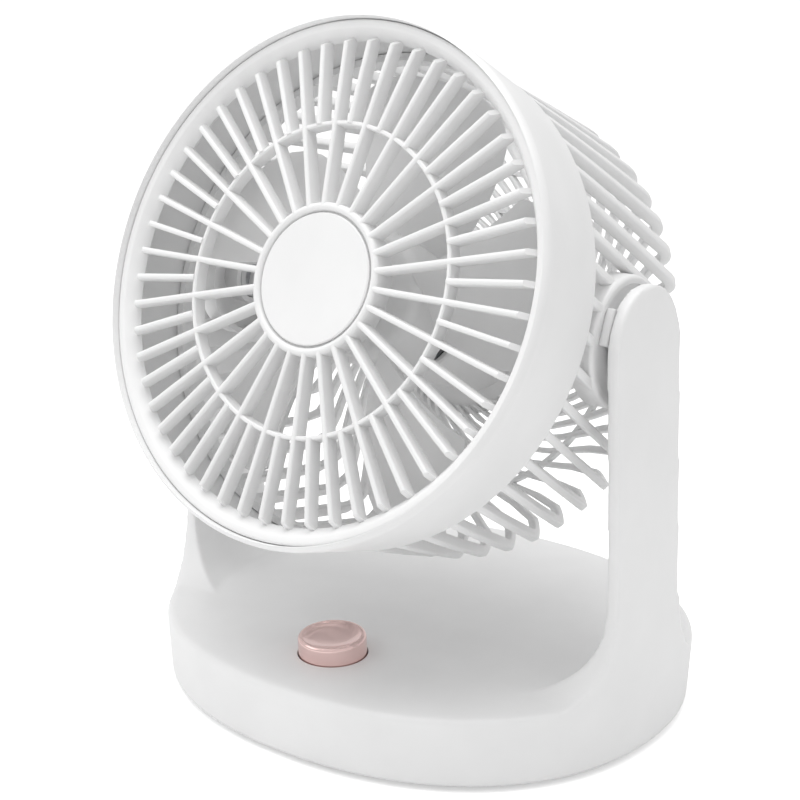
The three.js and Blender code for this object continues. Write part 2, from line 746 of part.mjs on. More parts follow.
// ---------- base and arms ----------
// The base's outline is a superellipse; an inset shrinks it evenly on both axes.
function ovalRing(inset, z, power = OVAL_POWER) {
  const [halfWidth, halfDepth] = [BASE_HALF_WIDTH - inset, BASE_HALF_DEPTH - inset];
  const ring = [];
  for (let i = 0; i < FINE; i++) {
    const angle = (2 * Math.PI * (i + 0.5)) / FINE;
    const [c, s] = [Math.cos(angle), Math.sin(angle)];
    const r = (Math.abs(c / halfWidth) ** power + Math.abs(s / halfDepth) ** power) ** (-1 / power);
    ring.push(new THREE.Vector3(r * c, r * s, z));
  }
  return ring;
}
const ovalSolid = (profile) => throughRings(profile.map((ring) => ovalRing(...ring)));
const deepest = BASE_HALF_DEPTH - 2; // inset that leaves a small flat in the middle
const crownAt = (inset) => BASE_RIM_HEIGHT + BASE_CROWN * (1 - (1 - inset / deepest) ** 2);

// The arms lean in evenly from the rounded rim to their tops.
const armTop = PIVOT_HEIGHT + ARM_HALF_WIDTH + 1;
const armFoot = BASE_RIM_HEIGHT - BASE_EDGE_ROUND;
const armInset = (z) => (ARM_DRAFT * (z - armFoot)) / (armTop - armFoot);
const armOuterX = (z) => BASE_HALF_WIDTH - armInset(z);
const pinSocketEnd = armOuterX(PIVOT_HEIGHT) - CHANNEL_FLOOR;
const pinOuterEnd = pinSocketEnd - PIN_PLAY;

// A bar inside an arm that leans with it, between two depths from the arm's outer face.
function leaningBar(nearDepth, farDepth, halfWidth, low, high) {
  const ring = (z) =>
    [
      [farDepth, -halfWidth],
      [nearDepth, -halfWidth],
      [nearDepth, halfWidth],
      [farDepth, halfWidth],
    ].map(([depth, across]) => new THREE.Vector3(armOuterX(z) - depth, PIVOT_Y + across, z));
  return throughRings([ring(low), ring(high)]);
}

function armOutline() {
  const half = ARM_HALF_WIDTH;
  const rim = BASE_RIM_HEIGHT - BASE_EDGE_ROUND;
  const shape = new THREE.Shape();
  shape.moveTo(PIVOT_Y - half - FLARE_REACH, BASE_RIM_HEIGHT / 2);
  shape.lineTo(PIVOT_Y - half - FLARE_REACH, rim);
  shape.quadraticCurveTo(PIVOT_Y - half - 1, rim + BASE_EDGE_ROUND, PIVOT_Y - half, FLARE_HEIGHT);
  shape.lineTo(PIVOT_Y - half, PIVOT_HEIGHT);
  shape.absarc(PIVOT_Y, PIVOT_HEIGHT, half, Math.PI, 0, true);
  shape.lineTo(PIVOT_Y + half, FLARE_HEIGHT);
  shape.quadraticCurveTo(PIVOT_Y + half + 1, rim + BASE_EDGE_ROUND, PIVOT_Y + half + FLARE_REACH, rim);
  shape.lineTo(PIVOT_Y + half + FLARE_REACH, BASE_RIM_HEIGHT / 2);
  return shape;
}

// A side outline, drawn in y and z, through the whole width of the fan.
function acrossWidth(shape) {
  const width = 2 * BASE_HALF_WIDTH + 2;
  const geometry = new THREE.ExtrudeGeometry(shape, { depth: width, bevelEnabled: false, curveSegments: 9 });
  const toSide = new THREE.Matrix4().makeBasis(
    new THREE.Vector3(0, 1, 0),
    new THREE.Vector3(0, 0, 1),
    new THREE.Vector3(1, 0, 0),
  );
  return solid(geometry.applyMatrix4(toSide).translate(-width / 2, 0, 0));
}

const coverScrewPlaces = [-1, 1].flatMap((sx) =>
  [-1, 1].map((sy) => [sx * (FOOT_X - SCREW_INSET), sy * FOOT_Y]),
);
const footPlaces = [-1, 1].flatMap((sx) => [-1, 1].map((sy) => [sx * FOOT_X, sy * FOOT_Y]));
const boardScrewPlaces = [-1, 1].map((side) => [side * BOARD_SCREW_X, KNOB_Y]);

// Things drawn about the knob's own axis, leaned and set on the base.
const knobInset = BASE_HALF_DEPTH + KNOB_Y;
const knobFootHeight = crownAt(knobInset);
function onKnobAxis(manifold) {
  const place = new THREE.Matrix4()
    .makeTranslation(0, KNOB_Y, knobFootHeight)
    .multiply(new THREE.Matrix4().makeRotationX(KNOB_LEAN));
  return manifold.transform(rows(place));
}

function makeYokeBase() {
  const edge = (angle) => [
    BASE_EDGE_ROUND * (1 - Math.cos(angle)),
    BASE_RIM_HEIGHT - BASE_EDGE_ROUND * (1 - Math.sin(angle)),
  ];
  const crown = [0.4, 1].map((share) => {
    const inset = BASE_EDGE_ROUND + (deepest - BASE_EDGE_ROUND) * share;
    return [inset, crownAt(inset)];
  });
  const slab = ovalSolid([
    [BASE_FOOT_INSET, BASE_BOTTOM],
    [BASE_FOOT_INSET / 2, BASE_BOTTOM + 4 * GAP],
    [BASE_FOOT_INSET / 4, BASE_RIM_HEIGHT / 2],
    edge(0),
    edge(Math.PI / 6),
    edge(Math.PI / 3),
    edge(Math.PI / 2),
    ...crown,
  ]);
  const wallOuter = ovalSolid([
    [BASE_FOOT_INSET / 4, BASE_RIM_HEIGHT / 2],
    [0, BASE_RIM_HEIGHT - BASE_EDGE_ROUND],
    [armInset(FLARE_HEIGHT), FLARE_HEIGHT, (OVAL_POWER + ARM_POWER) / 2],
    [armInset(1.5 * FLARE_HEIGHT), 1.5 * FLARE_HEIGHT, ARM_POWER],
    [ARM_DRAFT, armTop, ARM_POWER],
  ]);
  const quarter = Math.PI / 2;
  const fillet = [0, 1 / 4, 1 / 2, 3 / 4, 1].map((share) => {
    const angle = quarter * share;
    const height = BASE_RIM_HEIGHT - 1 + FILLET_HEIGHT * (1 - Math.cos(angle));
    return [
      ARM_THICKNESS + armInset(height) + FILLET_REACH * (1 - Math.sin(angle)),
      height,
      OVAL_POWER + (share * (ARM_POWER - OVAL_POWER)) / 2,
    ];
  });
  const wallInner = ovalSolid([
    ...fillet,
    [ARM_THICKNESS + armInset(1.5 * FLARE_HEIGHT), 1.5 * FLARE_HEIGHT, ARM_POWER],
    [ARM_THICKNESS + armInset(armTop + 1), armTop + 1, ARM_POWER],
  ]);
  const arms = acrossWidth(armOutline()).intersect(cut(wallOuter, [wallInner]));
  const innerInset = BASE_WALL + BASE_FOOT_INSET / 4;
  const hollow = ovalSolid([
    [innerInset + BASE_FOOT_INSET / 2, BASE_BOTTOM - 1],
    [innerInset, BASE_RIM_HEIGHT - BASE_EDGE_ROUND - BASE_WALL],
    [innerInset + BASE_EDGE_ROUND, BASE_RIM_HEIGHT - BASE_WALL],
    [deepest / 2, crownAt(deepest / 2) - BASE_WALL],
    [deepest, crownAt(deepest) - BASE_WALL],
  ]);
  const shell = cut(slab.add(arms), [hollow]);

  const posts = coverScrewPlaces.map(([x, y]) =>
    moved(rodZ(POST_RADIUS, COVER_BOTTOM + COVER_PLATE + GAP, BASE_RIM_HEIGHT - 1), x, y, 0),
  );
  const boardPosts = boardScrewPlaces.map(([x, y]) =>
    moved(rodZ(POST_RADIUS, BOARD_Z + BOARD_THICKNESS + GAP, BASE_RIM_HEIGHT - 1), x, y, 0),
  );
  const bossInner = POD_FACE + RUNNING_GAP;
  const armBoss = alongX(rodZ(ARM_BOSS_RADIUS, bossInner, pinOuterEnd, MEDIUM));
  const bosses = [armBoss, mirrored(armBoss)].map((b) => moved(b, 0, PIVOT_Y, PIVOT_HEIGHT));
  const filled = union([shell, ...posts, ...boardPosts, ...bosses]);

  const screwHoles = coverScrewPlaces.map(([x, y]) =>
    moved(rodZ(SCREW_SHANK + GAP, COVER_BOTTOM, COVER_BOTTOM + SCREW_LENGTH + 2), x, y, 0),
  );
  const boardHoles = boardScrewPlaces.map(([x, y]) =>
    moved(rodZ(SCREW_SHANK + GAP, BOARD_Z, BOARD_Z + BOARD_THICKNESS + SCREW_LENGTH / 2), x, y, 0),
  );
  const socket = alongX(rodZ(PIN_RADIUS + GAP, POD_FACE, pinSocketEnd, MEDIUM));
  const leftSocket = alongX(rodZ(PIN_RADIUS + GAP, POD_FACE, pinOuterEnd + GAP, MEDIUM));
  const sockets = [socket, mirrored(leftSocket)].map((s) => moved(s, 0, PIVOT_Y, PIVOT_HEIGHT));
  const half = CHANNEL_WIDTH / 2;
  const channelTop = CHANNEL_FLOOR + CHANNEL_DEPTH;
  const channel = leaningBar(CHANNEL_FLOOR, channelTop, half, armFoot - BASE_WALL, PIVOT_HEIGHT);
  const rebate = leaningBar(
    channelTop,
    2 * ARM_THICKNESS,
    COVER_WIDTH / 2 + GAP,
    coverLow - GAP,
    coverLow + COVER_LENGTH + GAP,
  );
  const bossKept = moved(alongX(rodZ(ARM_BOSS_RADIUS, 0, BASE_HALF_WIDTH, MEDIUM)), 0, PIVOT_Y, PIVOT_HEIGHT);
  const leadWay = leaningBar(CHANNEL_FLOOR, 4 * BASE_WALL, half, BASE_RIM_HEIGHT / 2, armFoot + GAP);
  const knobHole = onKnobAxis(rodZ(KNOB_RADIUS + RUNNING_GAP, -2 * BASE_WALL, BASE_WALL, MEDIUM));
  const flangeRoom = onKnobAxis(
    rodZ(KNOB_RADIUS + KNOB_FLANGE + RUNNING_GAP, -4 * BASE_WALL, -BASE_WALL, MEDIUM),
  );
  const inletHole = box(
    -INLET_WIDTH / 2 - GAP,
    INLET_WIDTH / 2 + GAP,
    BASE_HALF_DEPTH - 2 * INLET_DEPTH,
    BASE_HALF_DEPTH + 1,
    INLET_Z - INLET_HEIGHT / 2 - GAP,
    INLET_Z + INLET_HEIGHT / 2 + GAP,
  );
  return cut(filled, [
    ...screwHoles,
    ...boardHoles,
    ...sockets,
    channel,
    cut(rebate, [bossKept]),
    leadWay,
    knobHole,
    flangeRoom,
    inletHole,
  ]);
}

const coverLow = BASE_RIM_HEIGHT + FILLET_HEIGHT + 6;

function makeArmCover() {
  const near = CHANNEL_FLOOR + CHANNEL_DEPTH + GAP;
  return leaningBar(near, near + COVER_THICKNESS, COVER_WIDTH / 2, coverLow, coverLow + COVER_LENGTH);
}

function makeBaseCover() {
  const inset = BASE_WALL + BASE_FOOT_INSET + BASE_FOOT_INSET / 4 + GAP;
  const plate = ovalSolid([
    [inset, COVER_BOTTOM],
    [inset, COVER_BOTTOM + COVER_PLATE],
  ]);
  const pockets = footPlaces.map(([x, y]) =>
    moved(rodZ(FOOT_RADIUS + GAP, 0, FOOT_HEIGHT + GAP, MEDIUM), x, y, 0),
  );
  const holes = coverScrewPlaces.map(([x, y]) =>
    moved(rodZ(SCREW_SHANK + GAP, 0, COVER_BOTTOM + COVER_PLATE + 1), x, y, 0),
  );
  const sinks = coverScrewPlaces.map(([x, y]) =>
    moved(rodZ(SCREW_HEAD + GAP, 0, COVER_BOTTOM + SCREW_HEAD_HEIGHT), x, y, 0),
  );
  return cut(plate, [...pockets, ...holes, ...sinks]);
}

const makeFoot = ([x, y]) => moved(rodZ(FOOT_RADIUS, 0, FOOT_HEIGHT, MEDIUM), x, y, 0);

function makeCoverScrew([x, y]) {
  const head = rodZ(SCREW_HEAD, COVER_BOTTOM + GAP / 2, COVER_BOTTOM + SCREW_HEAD_HEIGHT - GAP);
  const shank = rodZ(SCREW_SHANK, COVER_BOTTOM + GAP, COVER_BOTTOM + SCREW_LENGTH);
  return moved(head.add(shank), x, y, 0);
}

function makeBoard() {
  const board = box(
    -BOARD_WIDTH / 2,
    BOARD_WIDTH / 2,
    KNOB_Y - BOARD_DEPTH / 2,
    KNOB_Y + BOARD_DEPTH / 2,
    BOARD_Z,
    BOARD_Z + BOARD_THICKNESS,
  );
  const holes = boardScrewPlaces.map(([x, y]) =>
    moved(rodZ(SCREW_SHANK + GAP, BOARD_Z - 1, BOARD_Z + BOARD_THICKNESS + 1), x, y, 0),
  );
  return cut(board, holes);
}

function makeBoardScrew([x, y]) {
  const low = BOARD_Z - GAP - SCREW_HEAD_HEIGHT;
  const head = rodZ(SCREW_HEAD, low, BOARD_Z - GAP);
  const shank = rodZ(SCREW_SHANK, low + GAP, BOARD_Z + BOARD_THICKNESS + SCREW_LENGTH / 2 - 1);
  return moved(head.add(shank), x, y, 0);
}

function makeSwitch() {
  const half = SWITCH_SIDE / 2;
  const low = BOARD_Z + BOARD_THICKNESS + GAP;
  return box(-half, half, KNOB_Y - half, KNOB_Y + half, low, low + SWITCH_HEIGHT);
}

function makeInlet() {
  const [w, h] = [INLET_WIDTH / 2, INLET_HEIGHT / 2];
  const back = BASE_HALF_DEPTH - BASE_FOOT_INSET / 2;
  const body = box(-w, w, back - INLET_DEPTH, back, INLET_Z - h, INLET_Z + h);
  const mouth = box(
    INLET_WALL - w,
    w - INLET_WALL,
    back - INLET_DEPTH + 2 * INLET_WALL,
    back + 1,
    INLET_Z - h + INLET_WALL,
    INLET_Z + h - INLET_WALL,
  );
  return cut(body, [mouth]);
}

// ---------- pivots ----------
function makePin(side) {
  const bore = side > 0 ? PIN_BORE : 0;
  const end = pinOuterEnd - GAP;
  const pin = bore
    ? tubeZ(bore, PIN_RADIUS, PIN_INNER_END, end, MEDIUM)
    : rodZ(PIN_RADIUS, PIN_INNER_END, end, MEDIUM);
  const lying = alongX(pin);
  return moved(side > 0 ? lying : mirrored(lying), 0, PIVOT_Y, PIVOT_HEIGHT);
}

function makeBush(side) {
  const inner = PIN_RADIUS + RUNNING_GAP;
  const low = POD_FACE - POD_DEPTH;
  const bush = alongX(tubeZ(inner, inner + BUSH_WALL, low, POD_FACE - GAP, MEDIUM));
  return side > 0 ? bush : mirrored(bush);
}

// ---------- leads ----------
// In the stand: from the board, across the base, up the arm's channel and into the hollow pin.
function makeStandLead(side) {
  const y = PIVOT_Y + side * LEAD_SPACING;
  const inArm = (z) => armOuterX(z) - CHANNEL_FLOOR - CHANNEL_DEPTH / 2;
  const x = inArm(armFoot);
  const endX = inArm(PIVOT_HEIGHT);
  const boardTop = BOARD_Z + BOARD_THICKNESS + GAP + LEAD_RADIUS;
  const axis = PIVOT_HEIGHT;
  const level = BASE_RIM_HEIGHT - BASE_EDGE_ROUND - BASE_WALL;
  const points = [
    [BOARD_WIDTH / 2 - 5, KNOB_Y + 10 + side * LEAD_SPACING, boardTop],
    [BOARD_WIDTH / 2 + 10, KNOB_Y + 14 + side * LEAD_SPACING, boardTop + 1],
    [x - 30, y, boardTop + 1],
    [x - 8, y, level - 4],
    [x - 2, y, level - 3],
    [x, y, level],
    [inArm(level + 6), y, level + 6],
    [inArm(level + 20), y, level + 20],
    [inArm(axis - 12), y, axis - 12],
    [endX, y, axis - 4],
    [endX - 1, y, axis - 1],
    [endX - 4, y, axis],
    [PIN_INNER_END + 1, y, axis],
  ].map((p) => new THREE.Vector3(...p));
  return wire(points, LEAD_RADIUS, 2);
}

// In the head: from the pin's inner end along the conduit to the motor.
function makeHeadLead(side) {
  const y = side * LEAD_SPACING;
  const points = [
    [PIN_INNER_END + 1 - GAP, y, 0],
    [PIN_INNER_END - 10, y, -1],
    [60, y * 1.3, -4],
    [40, y * 1.3, -4],
    [MOTOR_RADIUS + SHROUD_WALL + 2, y, -4.5],
  ].map((p) => new THREE.Vector3(...p));
  return wire(points, LEAD_RADIUS, 2);
}

function makeConduitCover() {
  const half = CONDUIT_HEIGHT / 2 - CONDUIT_WALL - GAP;
  return box(
    MOTOR_RADIUS + GAP + SHROUD_WALL + 1,
    POD_FACE - POD_DEPTH - 1,
    -half,
    half,
    CONDUIT_BACK + GAP,
    CONDUIT_BACK + GAP + CONDUIT_WALL,
  );
}

// ---------- knob ----------
function makeKnob() {
  const switchTop = BOARD_Z + BOARD_THICKNESS + GAP + SWITCH_HEIGHT;
  const stemEnd = switchTop + RUNNING_GAP + KNOB_TRAVEL - knobFootHeight;
  const flange = KNOB_RADIUS + KNOB_FLANGE;
  const flangeTop = -BASE_WALL - RUNNING_GAP;
  const inner = KNOB_RADIUS - KNOB_FLANGE;
  const ceiling = KNOB_HEIGHT - 2 * KNOB_ROUND - KNOB_DISH;
  return onKnobAxis(
    lathe(
      [
        [0, stemEnd],
        [KNOB_STEM_RADIUS, stemEnd],
        [KNOB_STEM_RADIUS, ceiling],
        [inner, ceiling],
        [inner, flangeTop - KNOB_FLANGE_DEPTH],
        [flange, flangeTop - KNOB_FLANGE_DEPTH],
        [flange, flangeTop],
        [KNOB_RADIUS, flangeTop],
        [KNOB_RADIUS, KNOB_HEIGHT - KNOB_ROUND],
        [KNOB_RADIUS - 0.3 * KNOB_ROUND, KNOB_HEIGHT - 0.3 * KNOB_ROUND],
        [KNOB_RADIUS - KNOB_ROUND, KNOB_HEIGHT],
        [KNOB_RADIUS - 2 * KNOB_ROUND, KNOB_HEIGHT - KNOB_ROUND / 3],
        [KNOB_RADIUS / 2, KNOB_HEIGHT - KNOB_DISH],
        [0, KNOB_HEIGHT - KNOB_DISH],
      ],
      MEDIUM,
    ),
  );
}

// ---------- the assembly ----------
add(stand, "yoke_base", makeYokeBase());
add(stand, "base_cover", makeBaseCover(), "inner");
footPlaces.forEach((place, i) => add(stand, `foot_${i + 1}`, makeFoot(place), "rubber"));
coverScrewPlaces.forEach((place, i) => add(stand, `cover_screw_${i + 1}`, makeCoverScrew(place), "metal"));
add(stand, "circuit_board", makeBoard(), "board");
boardScrewPlaces.forEach((place, i) => add(stand, `board_screw_${i + 1}`, makeBoardScrew(place), "metal"));
add(stand, "push_switch", makeSwitch(), "dark");
add(stand, "power_inlet", makeInlet(), "metal");
add(stand, "arm_cover", makeArmCover());
add(stand, "pivot_pin_right", makePin(1), "metal");
add(stand, "pivot_pin_left", makePin(-1), "metal");
add(stand, "stand_lead_red", makeStandLead(1), "red");
add(stand, "stand_lead_black", makeStandLead(-1), "dark");
add(stand, "knob", makeKnob(), "copper");

add(core, "barrel", makeBarrel());
add(core, "front_grille", makeGrille());
add(core, "hub_badge", makeBadge());
add(core, "rear_guard", makeRearGuard());
add(head, "conduit_cover", makeConduitCover());
add(head, "pivot_bush_right", makeBush(1), "inner");
add(head, "pivot_bush_left", makeBush(-1), "inner");
add(core, "motor_can", makeMotorCan(), "metal");
add(core, "motor_cap", makeMotorCap(), "metal");
add(core, "motor_magnet", makeMagnet(), "dark");
add(core, "bearing_rear", makeBearing(motorBack + MOTOR_WALL + GAP), "metal");
add(core, "bearing_front", makeBearing(MOTOR_FRONT - MOTOR_WALL - GAP - BEARING_WIDTH), "metal");
motorScrewPlaces.forEach((place, i) => add(core, `motor_screw_${i + 1}`, makeMotorScrew(place), "metal"));
add(head, "head_lead_red", makeHeadLead(1), "red");
add(head, "head_lead_black", makeHeadLead(-1), "dark");
add(core, "motor_shaft", rodZ(SHAFT_RADIUS, motorBack + GAP, SHAFT_FRONT), "metal");
add(core, "rotor_core", makeCore(), "dark");
add(core, "impeller", makeImpeller());
add(core, "impeller_cap", makeImpellerCap());

export default fan;
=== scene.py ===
# %% [markdown]
# # A desk fan
# A small white fan: an oval base whose side walls rise as two arms, a round head that tilts between
# them, and one rose-gold push knob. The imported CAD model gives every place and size. Here the pieces
# that show get their fine shape and their finish. Lengths are in metres; MM turns millimetres to metres.

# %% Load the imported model
import json
import math
import bmesh
import bpy
from mathutils import Matrix, Vector


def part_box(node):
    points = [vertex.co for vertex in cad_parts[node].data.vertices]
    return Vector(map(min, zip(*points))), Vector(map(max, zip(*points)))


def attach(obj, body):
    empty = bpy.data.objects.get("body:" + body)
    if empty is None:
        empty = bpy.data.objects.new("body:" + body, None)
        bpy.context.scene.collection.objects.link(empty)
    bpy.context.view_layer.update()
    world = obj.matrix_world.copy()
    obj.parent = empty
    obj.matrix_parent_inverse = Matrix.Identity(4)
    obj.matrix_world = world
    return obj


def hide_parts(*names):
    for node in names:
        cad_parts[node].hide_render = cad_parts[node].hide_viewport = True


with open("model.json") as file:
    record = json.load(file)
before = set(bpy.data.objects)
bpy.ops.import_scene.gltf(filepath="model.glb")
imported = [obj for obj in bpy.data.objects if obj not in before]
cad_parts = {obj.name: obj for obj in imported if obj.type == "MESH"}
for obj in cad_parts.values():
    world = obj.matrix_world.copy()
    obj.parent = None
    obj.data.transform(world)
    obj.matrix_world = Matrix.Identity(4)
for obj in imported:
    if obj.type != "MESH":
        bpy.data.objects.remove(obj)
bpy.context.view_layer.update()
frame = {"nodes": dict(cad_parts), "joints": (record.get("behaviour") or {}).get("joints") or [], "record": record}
MM = 0.001

# %% [markdown]
# ## Where things are
# The joints say where the head turns and where the motor's shaft runs. Round pieces of the head are
# modelled standing up at the origin, about +Z, and then laid in place by one matrix: that is how a
# turner would work too, with the piece upright on the wheel.

# %% Read the joints
joint = {j["name"]: j for j in frame["joints"]}
pivot = Vector(joint["head_tilt"]["pos_m"])
axis_point = Vector(joint["rotor_spin"]["pos_m"])
TILT = math.asin(joint["rotor_spin"]["axis"][2])
HEAD = Matrix.Translation(axis_point) @ Matrix.Rotation(math.pi / 2 - TILT, 4, "X")
base_low, base_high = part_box("yoke_base")
BASE_Y = (base_low.y + base_high.y) / 2 / MM
PIVOT_Y = pivot.y / MM - BASE_Y
PIVOT_Z = pivot.z / MM
DROP = (pivot - axis_point).length / MM
FRONT = 65.6  # front of the rim, along the head's axis, in millimetres
FACE_SINK = 2.4
FACE = FRONT - FACE_SINK  # front of the grille
HEAD_RADIUS = 94.5
BARREL_REAR = 27.9
print("tilt", round(math.degrees(TILT), 2), "drop", round(DROP, 2))
print("pivot", round(PIVOT_Y, 2), round(PIVOT_Z, 2))

# %% [markdown]
# ## The maker's tools
# Most of the fan is turned, lofted or moulded. `turned` starts from a circle and pulls its edge ring
# by ring through a profile, as clay rises on a wheel. A radius of nought is drawn as a pinhole that
# merging then closes to one point. `lofted` does the same with rings of any outline.

# %% Tools for picking and placing
def pick(*pieces):
    if bpy.context.object and bpy.context.object.mode != "OBJECT":
        bpy.ops.object.mode_set(mode="OBJECT")
    bpy.ops.object.select_all(action="DESELECT")
    for piece in pieces:
        piece.select_set(True)
    if pieces:
        bpy.context.view_layer.objects.active = pieces[0]


def settle(piece, matrix):
    pick(piece)
    piece.matrix_world = matrix @ piece.matrix_world
    bpy.ops.object.transform_apply(location=True, rotation=True, scale=True)
    return piece


def edit(piece):
    pick(piece)
    bpy.ops.object.mode_set(mode="EDIT")
    bpy.ops.mesh.select_all(action="SELECT")


def done(piece, angle=35):
    if piece.mode != "OBJECT":
        bpy.ops.object.mode_set(mode="OBJECT")
    pick(piece)
    bpy.ops.object.shade_smooth_by_angle(angle=math.radians(angle))
    return piece


def apply(piece, name, kind, **settings):
    pick(piece)
    tool = piece.modifiers.new(name, kind)
    for key, value in settings.items():
        setattr(tool, key, value)
    bpy.ops.object.modifier_apply(modifier=name)
    return piece


def join(first, *others):
    pick(first, *others)
    bpy.ops.object.join()
    return first


def cut(piece, *tools):
    for tool in tools:
        apply(piece, "cut", "BOOLEAN", operation="DIFFERENCE", solver="EXACT", object=tool)
        bpy.data.objects.remove(tool)
    return piece


# %% Tools for shaping
PINHOLE = 0.004


def turned(name, profile, sides=128):
    profile = [(max(r, PINHOLE), z) for r, z in profile]
    r, z = profile[0]
    pick()
    bpy.ops.mesh.primitive_circle_add(vertices=sides, radius=r * MM)
    piece = bpy.context.object
    piece.name = name
    bpy.ops.object.mode_set(mode="EDIT")
    bpy.ops.mesh.select_all(action="SELECT")
    bpy.ops.transform.translate(value=(0, 0, z * MM))
    for next_r, next_z in profile[1:]:
        step = {"value": (0, 0, (next_z - z) * MM)}
        bpy.ops.mesh.extrude_region_move(TRANSFORM_OT_translate=step)
        grow = next_r / r
        bpy.ops.transform.resize(value=(grow, grow, 1), center_override=(0, 0, next_z * MM))
        r, z = next_r, next_z
    bpy.ops.mesh.select_all(action="SELECT")
    bpy.ops.mesh.remove_doubles(threshold=0.012 * MM)
    bpy.ops.mesh.normals_make_consistent(inside=False)
    bpy.ops.object.mode_set(mode="OBJECT")
    return piece


def put_ring(piece, ring):
    # The picked points and the ring's points are both put in order of their bearing from the middle.
    mesh = bmesh.from_edit_mesh(piece.data)
    picked = [v for v in mesh.verts if v.select]
    picked.sort(key=lambda v: math.atan2(v.co.y, v.co.x))
    for v, p in zip(picked, sorted(ring, key=lambda p: math.atan2(p.y, p.x))):
        v.co = p * MM
    bmesh.update_edit_mesh(piece.data)


def lofted(name, rings):
    pick()
    bpy.ops.mesh.primitive_circle_add(vertices=len(rings[0]), radius=MM, fill_type="NGON")
    piece = bpy.context.object
    piece.name = name
    bpy.ops.object.mode_set(mode="EDIT")
    bpy.ops.mesh.select_all(action="SELECT")
    put_ring(piece, rings[0])
    for ring in rings[1:]:
        bpy.ops.mesh.extrude_region_move()
        put_ring(piece, ring)
    bpy.ops.mesh.select_all(action="SELECT")
    bpy.ops.mesh.normals_make_consistent(inside=False)
    bpy.ops.object.mode_set(mode="OBJECT")
    return piece


def block(name, x0, x1, y0, y1, z0, z1, round_off=0.0, segments=3):
    pick()
    middle = Vector(((x0 + x1) / 2, (y0 + y1) / 2, (z0 + z1) / 2)) * MM
    sides = Vector((x1 - x0, y1 - y0, z1 - z0)) * MM
    bpy.ops.mesh.primitive_cube_add(size=1, location=middle, scale=sides)
    piece = bpy.context.object
    piece.name = name
    bpy.ops.object.transform_apply(location=True, rotation=True, scale=True)
    if round_off:
        edit(piece)
        bpy.ops.mesh.bevel(offset=round_off * MM, segments=segments, affect="EDGES")
        bpy.ops.object.mode_set(mode="OBJECT")
    return piece


def rod(name, radius, low, high, sides=64):
    pick()
    middle = (0, 0, (low + high) / 2 * MM)
    length = (high - low) * MM
    bpy.ops.mesh.primitive_cylinder_add(vertices=sides, radius=radius * MM, depth=length, location=middle)
    piece = bpy.context.object
    piece.name = name
    bpy.ops.object.transform_apply(location=True, rotation=True, scale=True)
    return piece


def arc(cr, cz, radius, start, end, steps):
    angles = [math.radians(start + (end - start) * i / steps) for i in range(steps + 1)]
    return [(cr + radius * math.cos(a), cz + radius * math.sin(a)) for a in angles]


def ring_of_copies(piece, count, name, tools=()):
    # Each copy is cut on its own, while it is still one plain closed shape.
    copies = []
    for i in range(1, count):
        copy = piece.copy()
        copy.data = piece.data.copy()
        bpy.context.scene.collection.objects.link(copy)
        settle(copy, Matrix.Rotation(2 * math.pi * i / count, 4, "Z"))
        copies.append(copy)
    for tool in tools:
        for copy in (piece, *copies):
            apply(copy, "cut", "BOOLEAN", operation="DIFFERENCE", solver="EXACT", object=tool)
        bpy.data.objects.remove(tool)
    whole = join(piece, *copies)
    whole.name = name
    return whole


TO_X = Matrix.Rotation(math.pi / 2, 4, "Y")
FLIP = Matrix.Diagonal((-1, 1, 1, 1))


def mirrored(piece, name):
    copy = piece.copy()
    copy.data = piece.data.copy()
    bpy.context.scene.collection.objects.link(copy)
    copy.name = name
    settle(copy, FLIP)
    edit(copy)
    bpy.ops.mesh.normals_make_consistent(inside=False)
    bpy.ops.object.mode_set(mode="OBJECT")
    return copy


print("tools ready")

# %% [markdown]
# ## Finishes
# Real moulded plastic is never one flat colour: its gloss wanders a little where the melt met the
# mould, and a fine orange-peel ripple bends its highlights. Each finish here is a Principled shader
# whose colour and roughness drift with soft noise, and whose bump carries that ripple. The noise reads
# Object coordinates, so it stays with the piece when the head tilts.

# %% The finish maker
CLOUD_SCALE = 38
CLOUD_LOW, CLOUD_HIGH = 0.3, 0.7


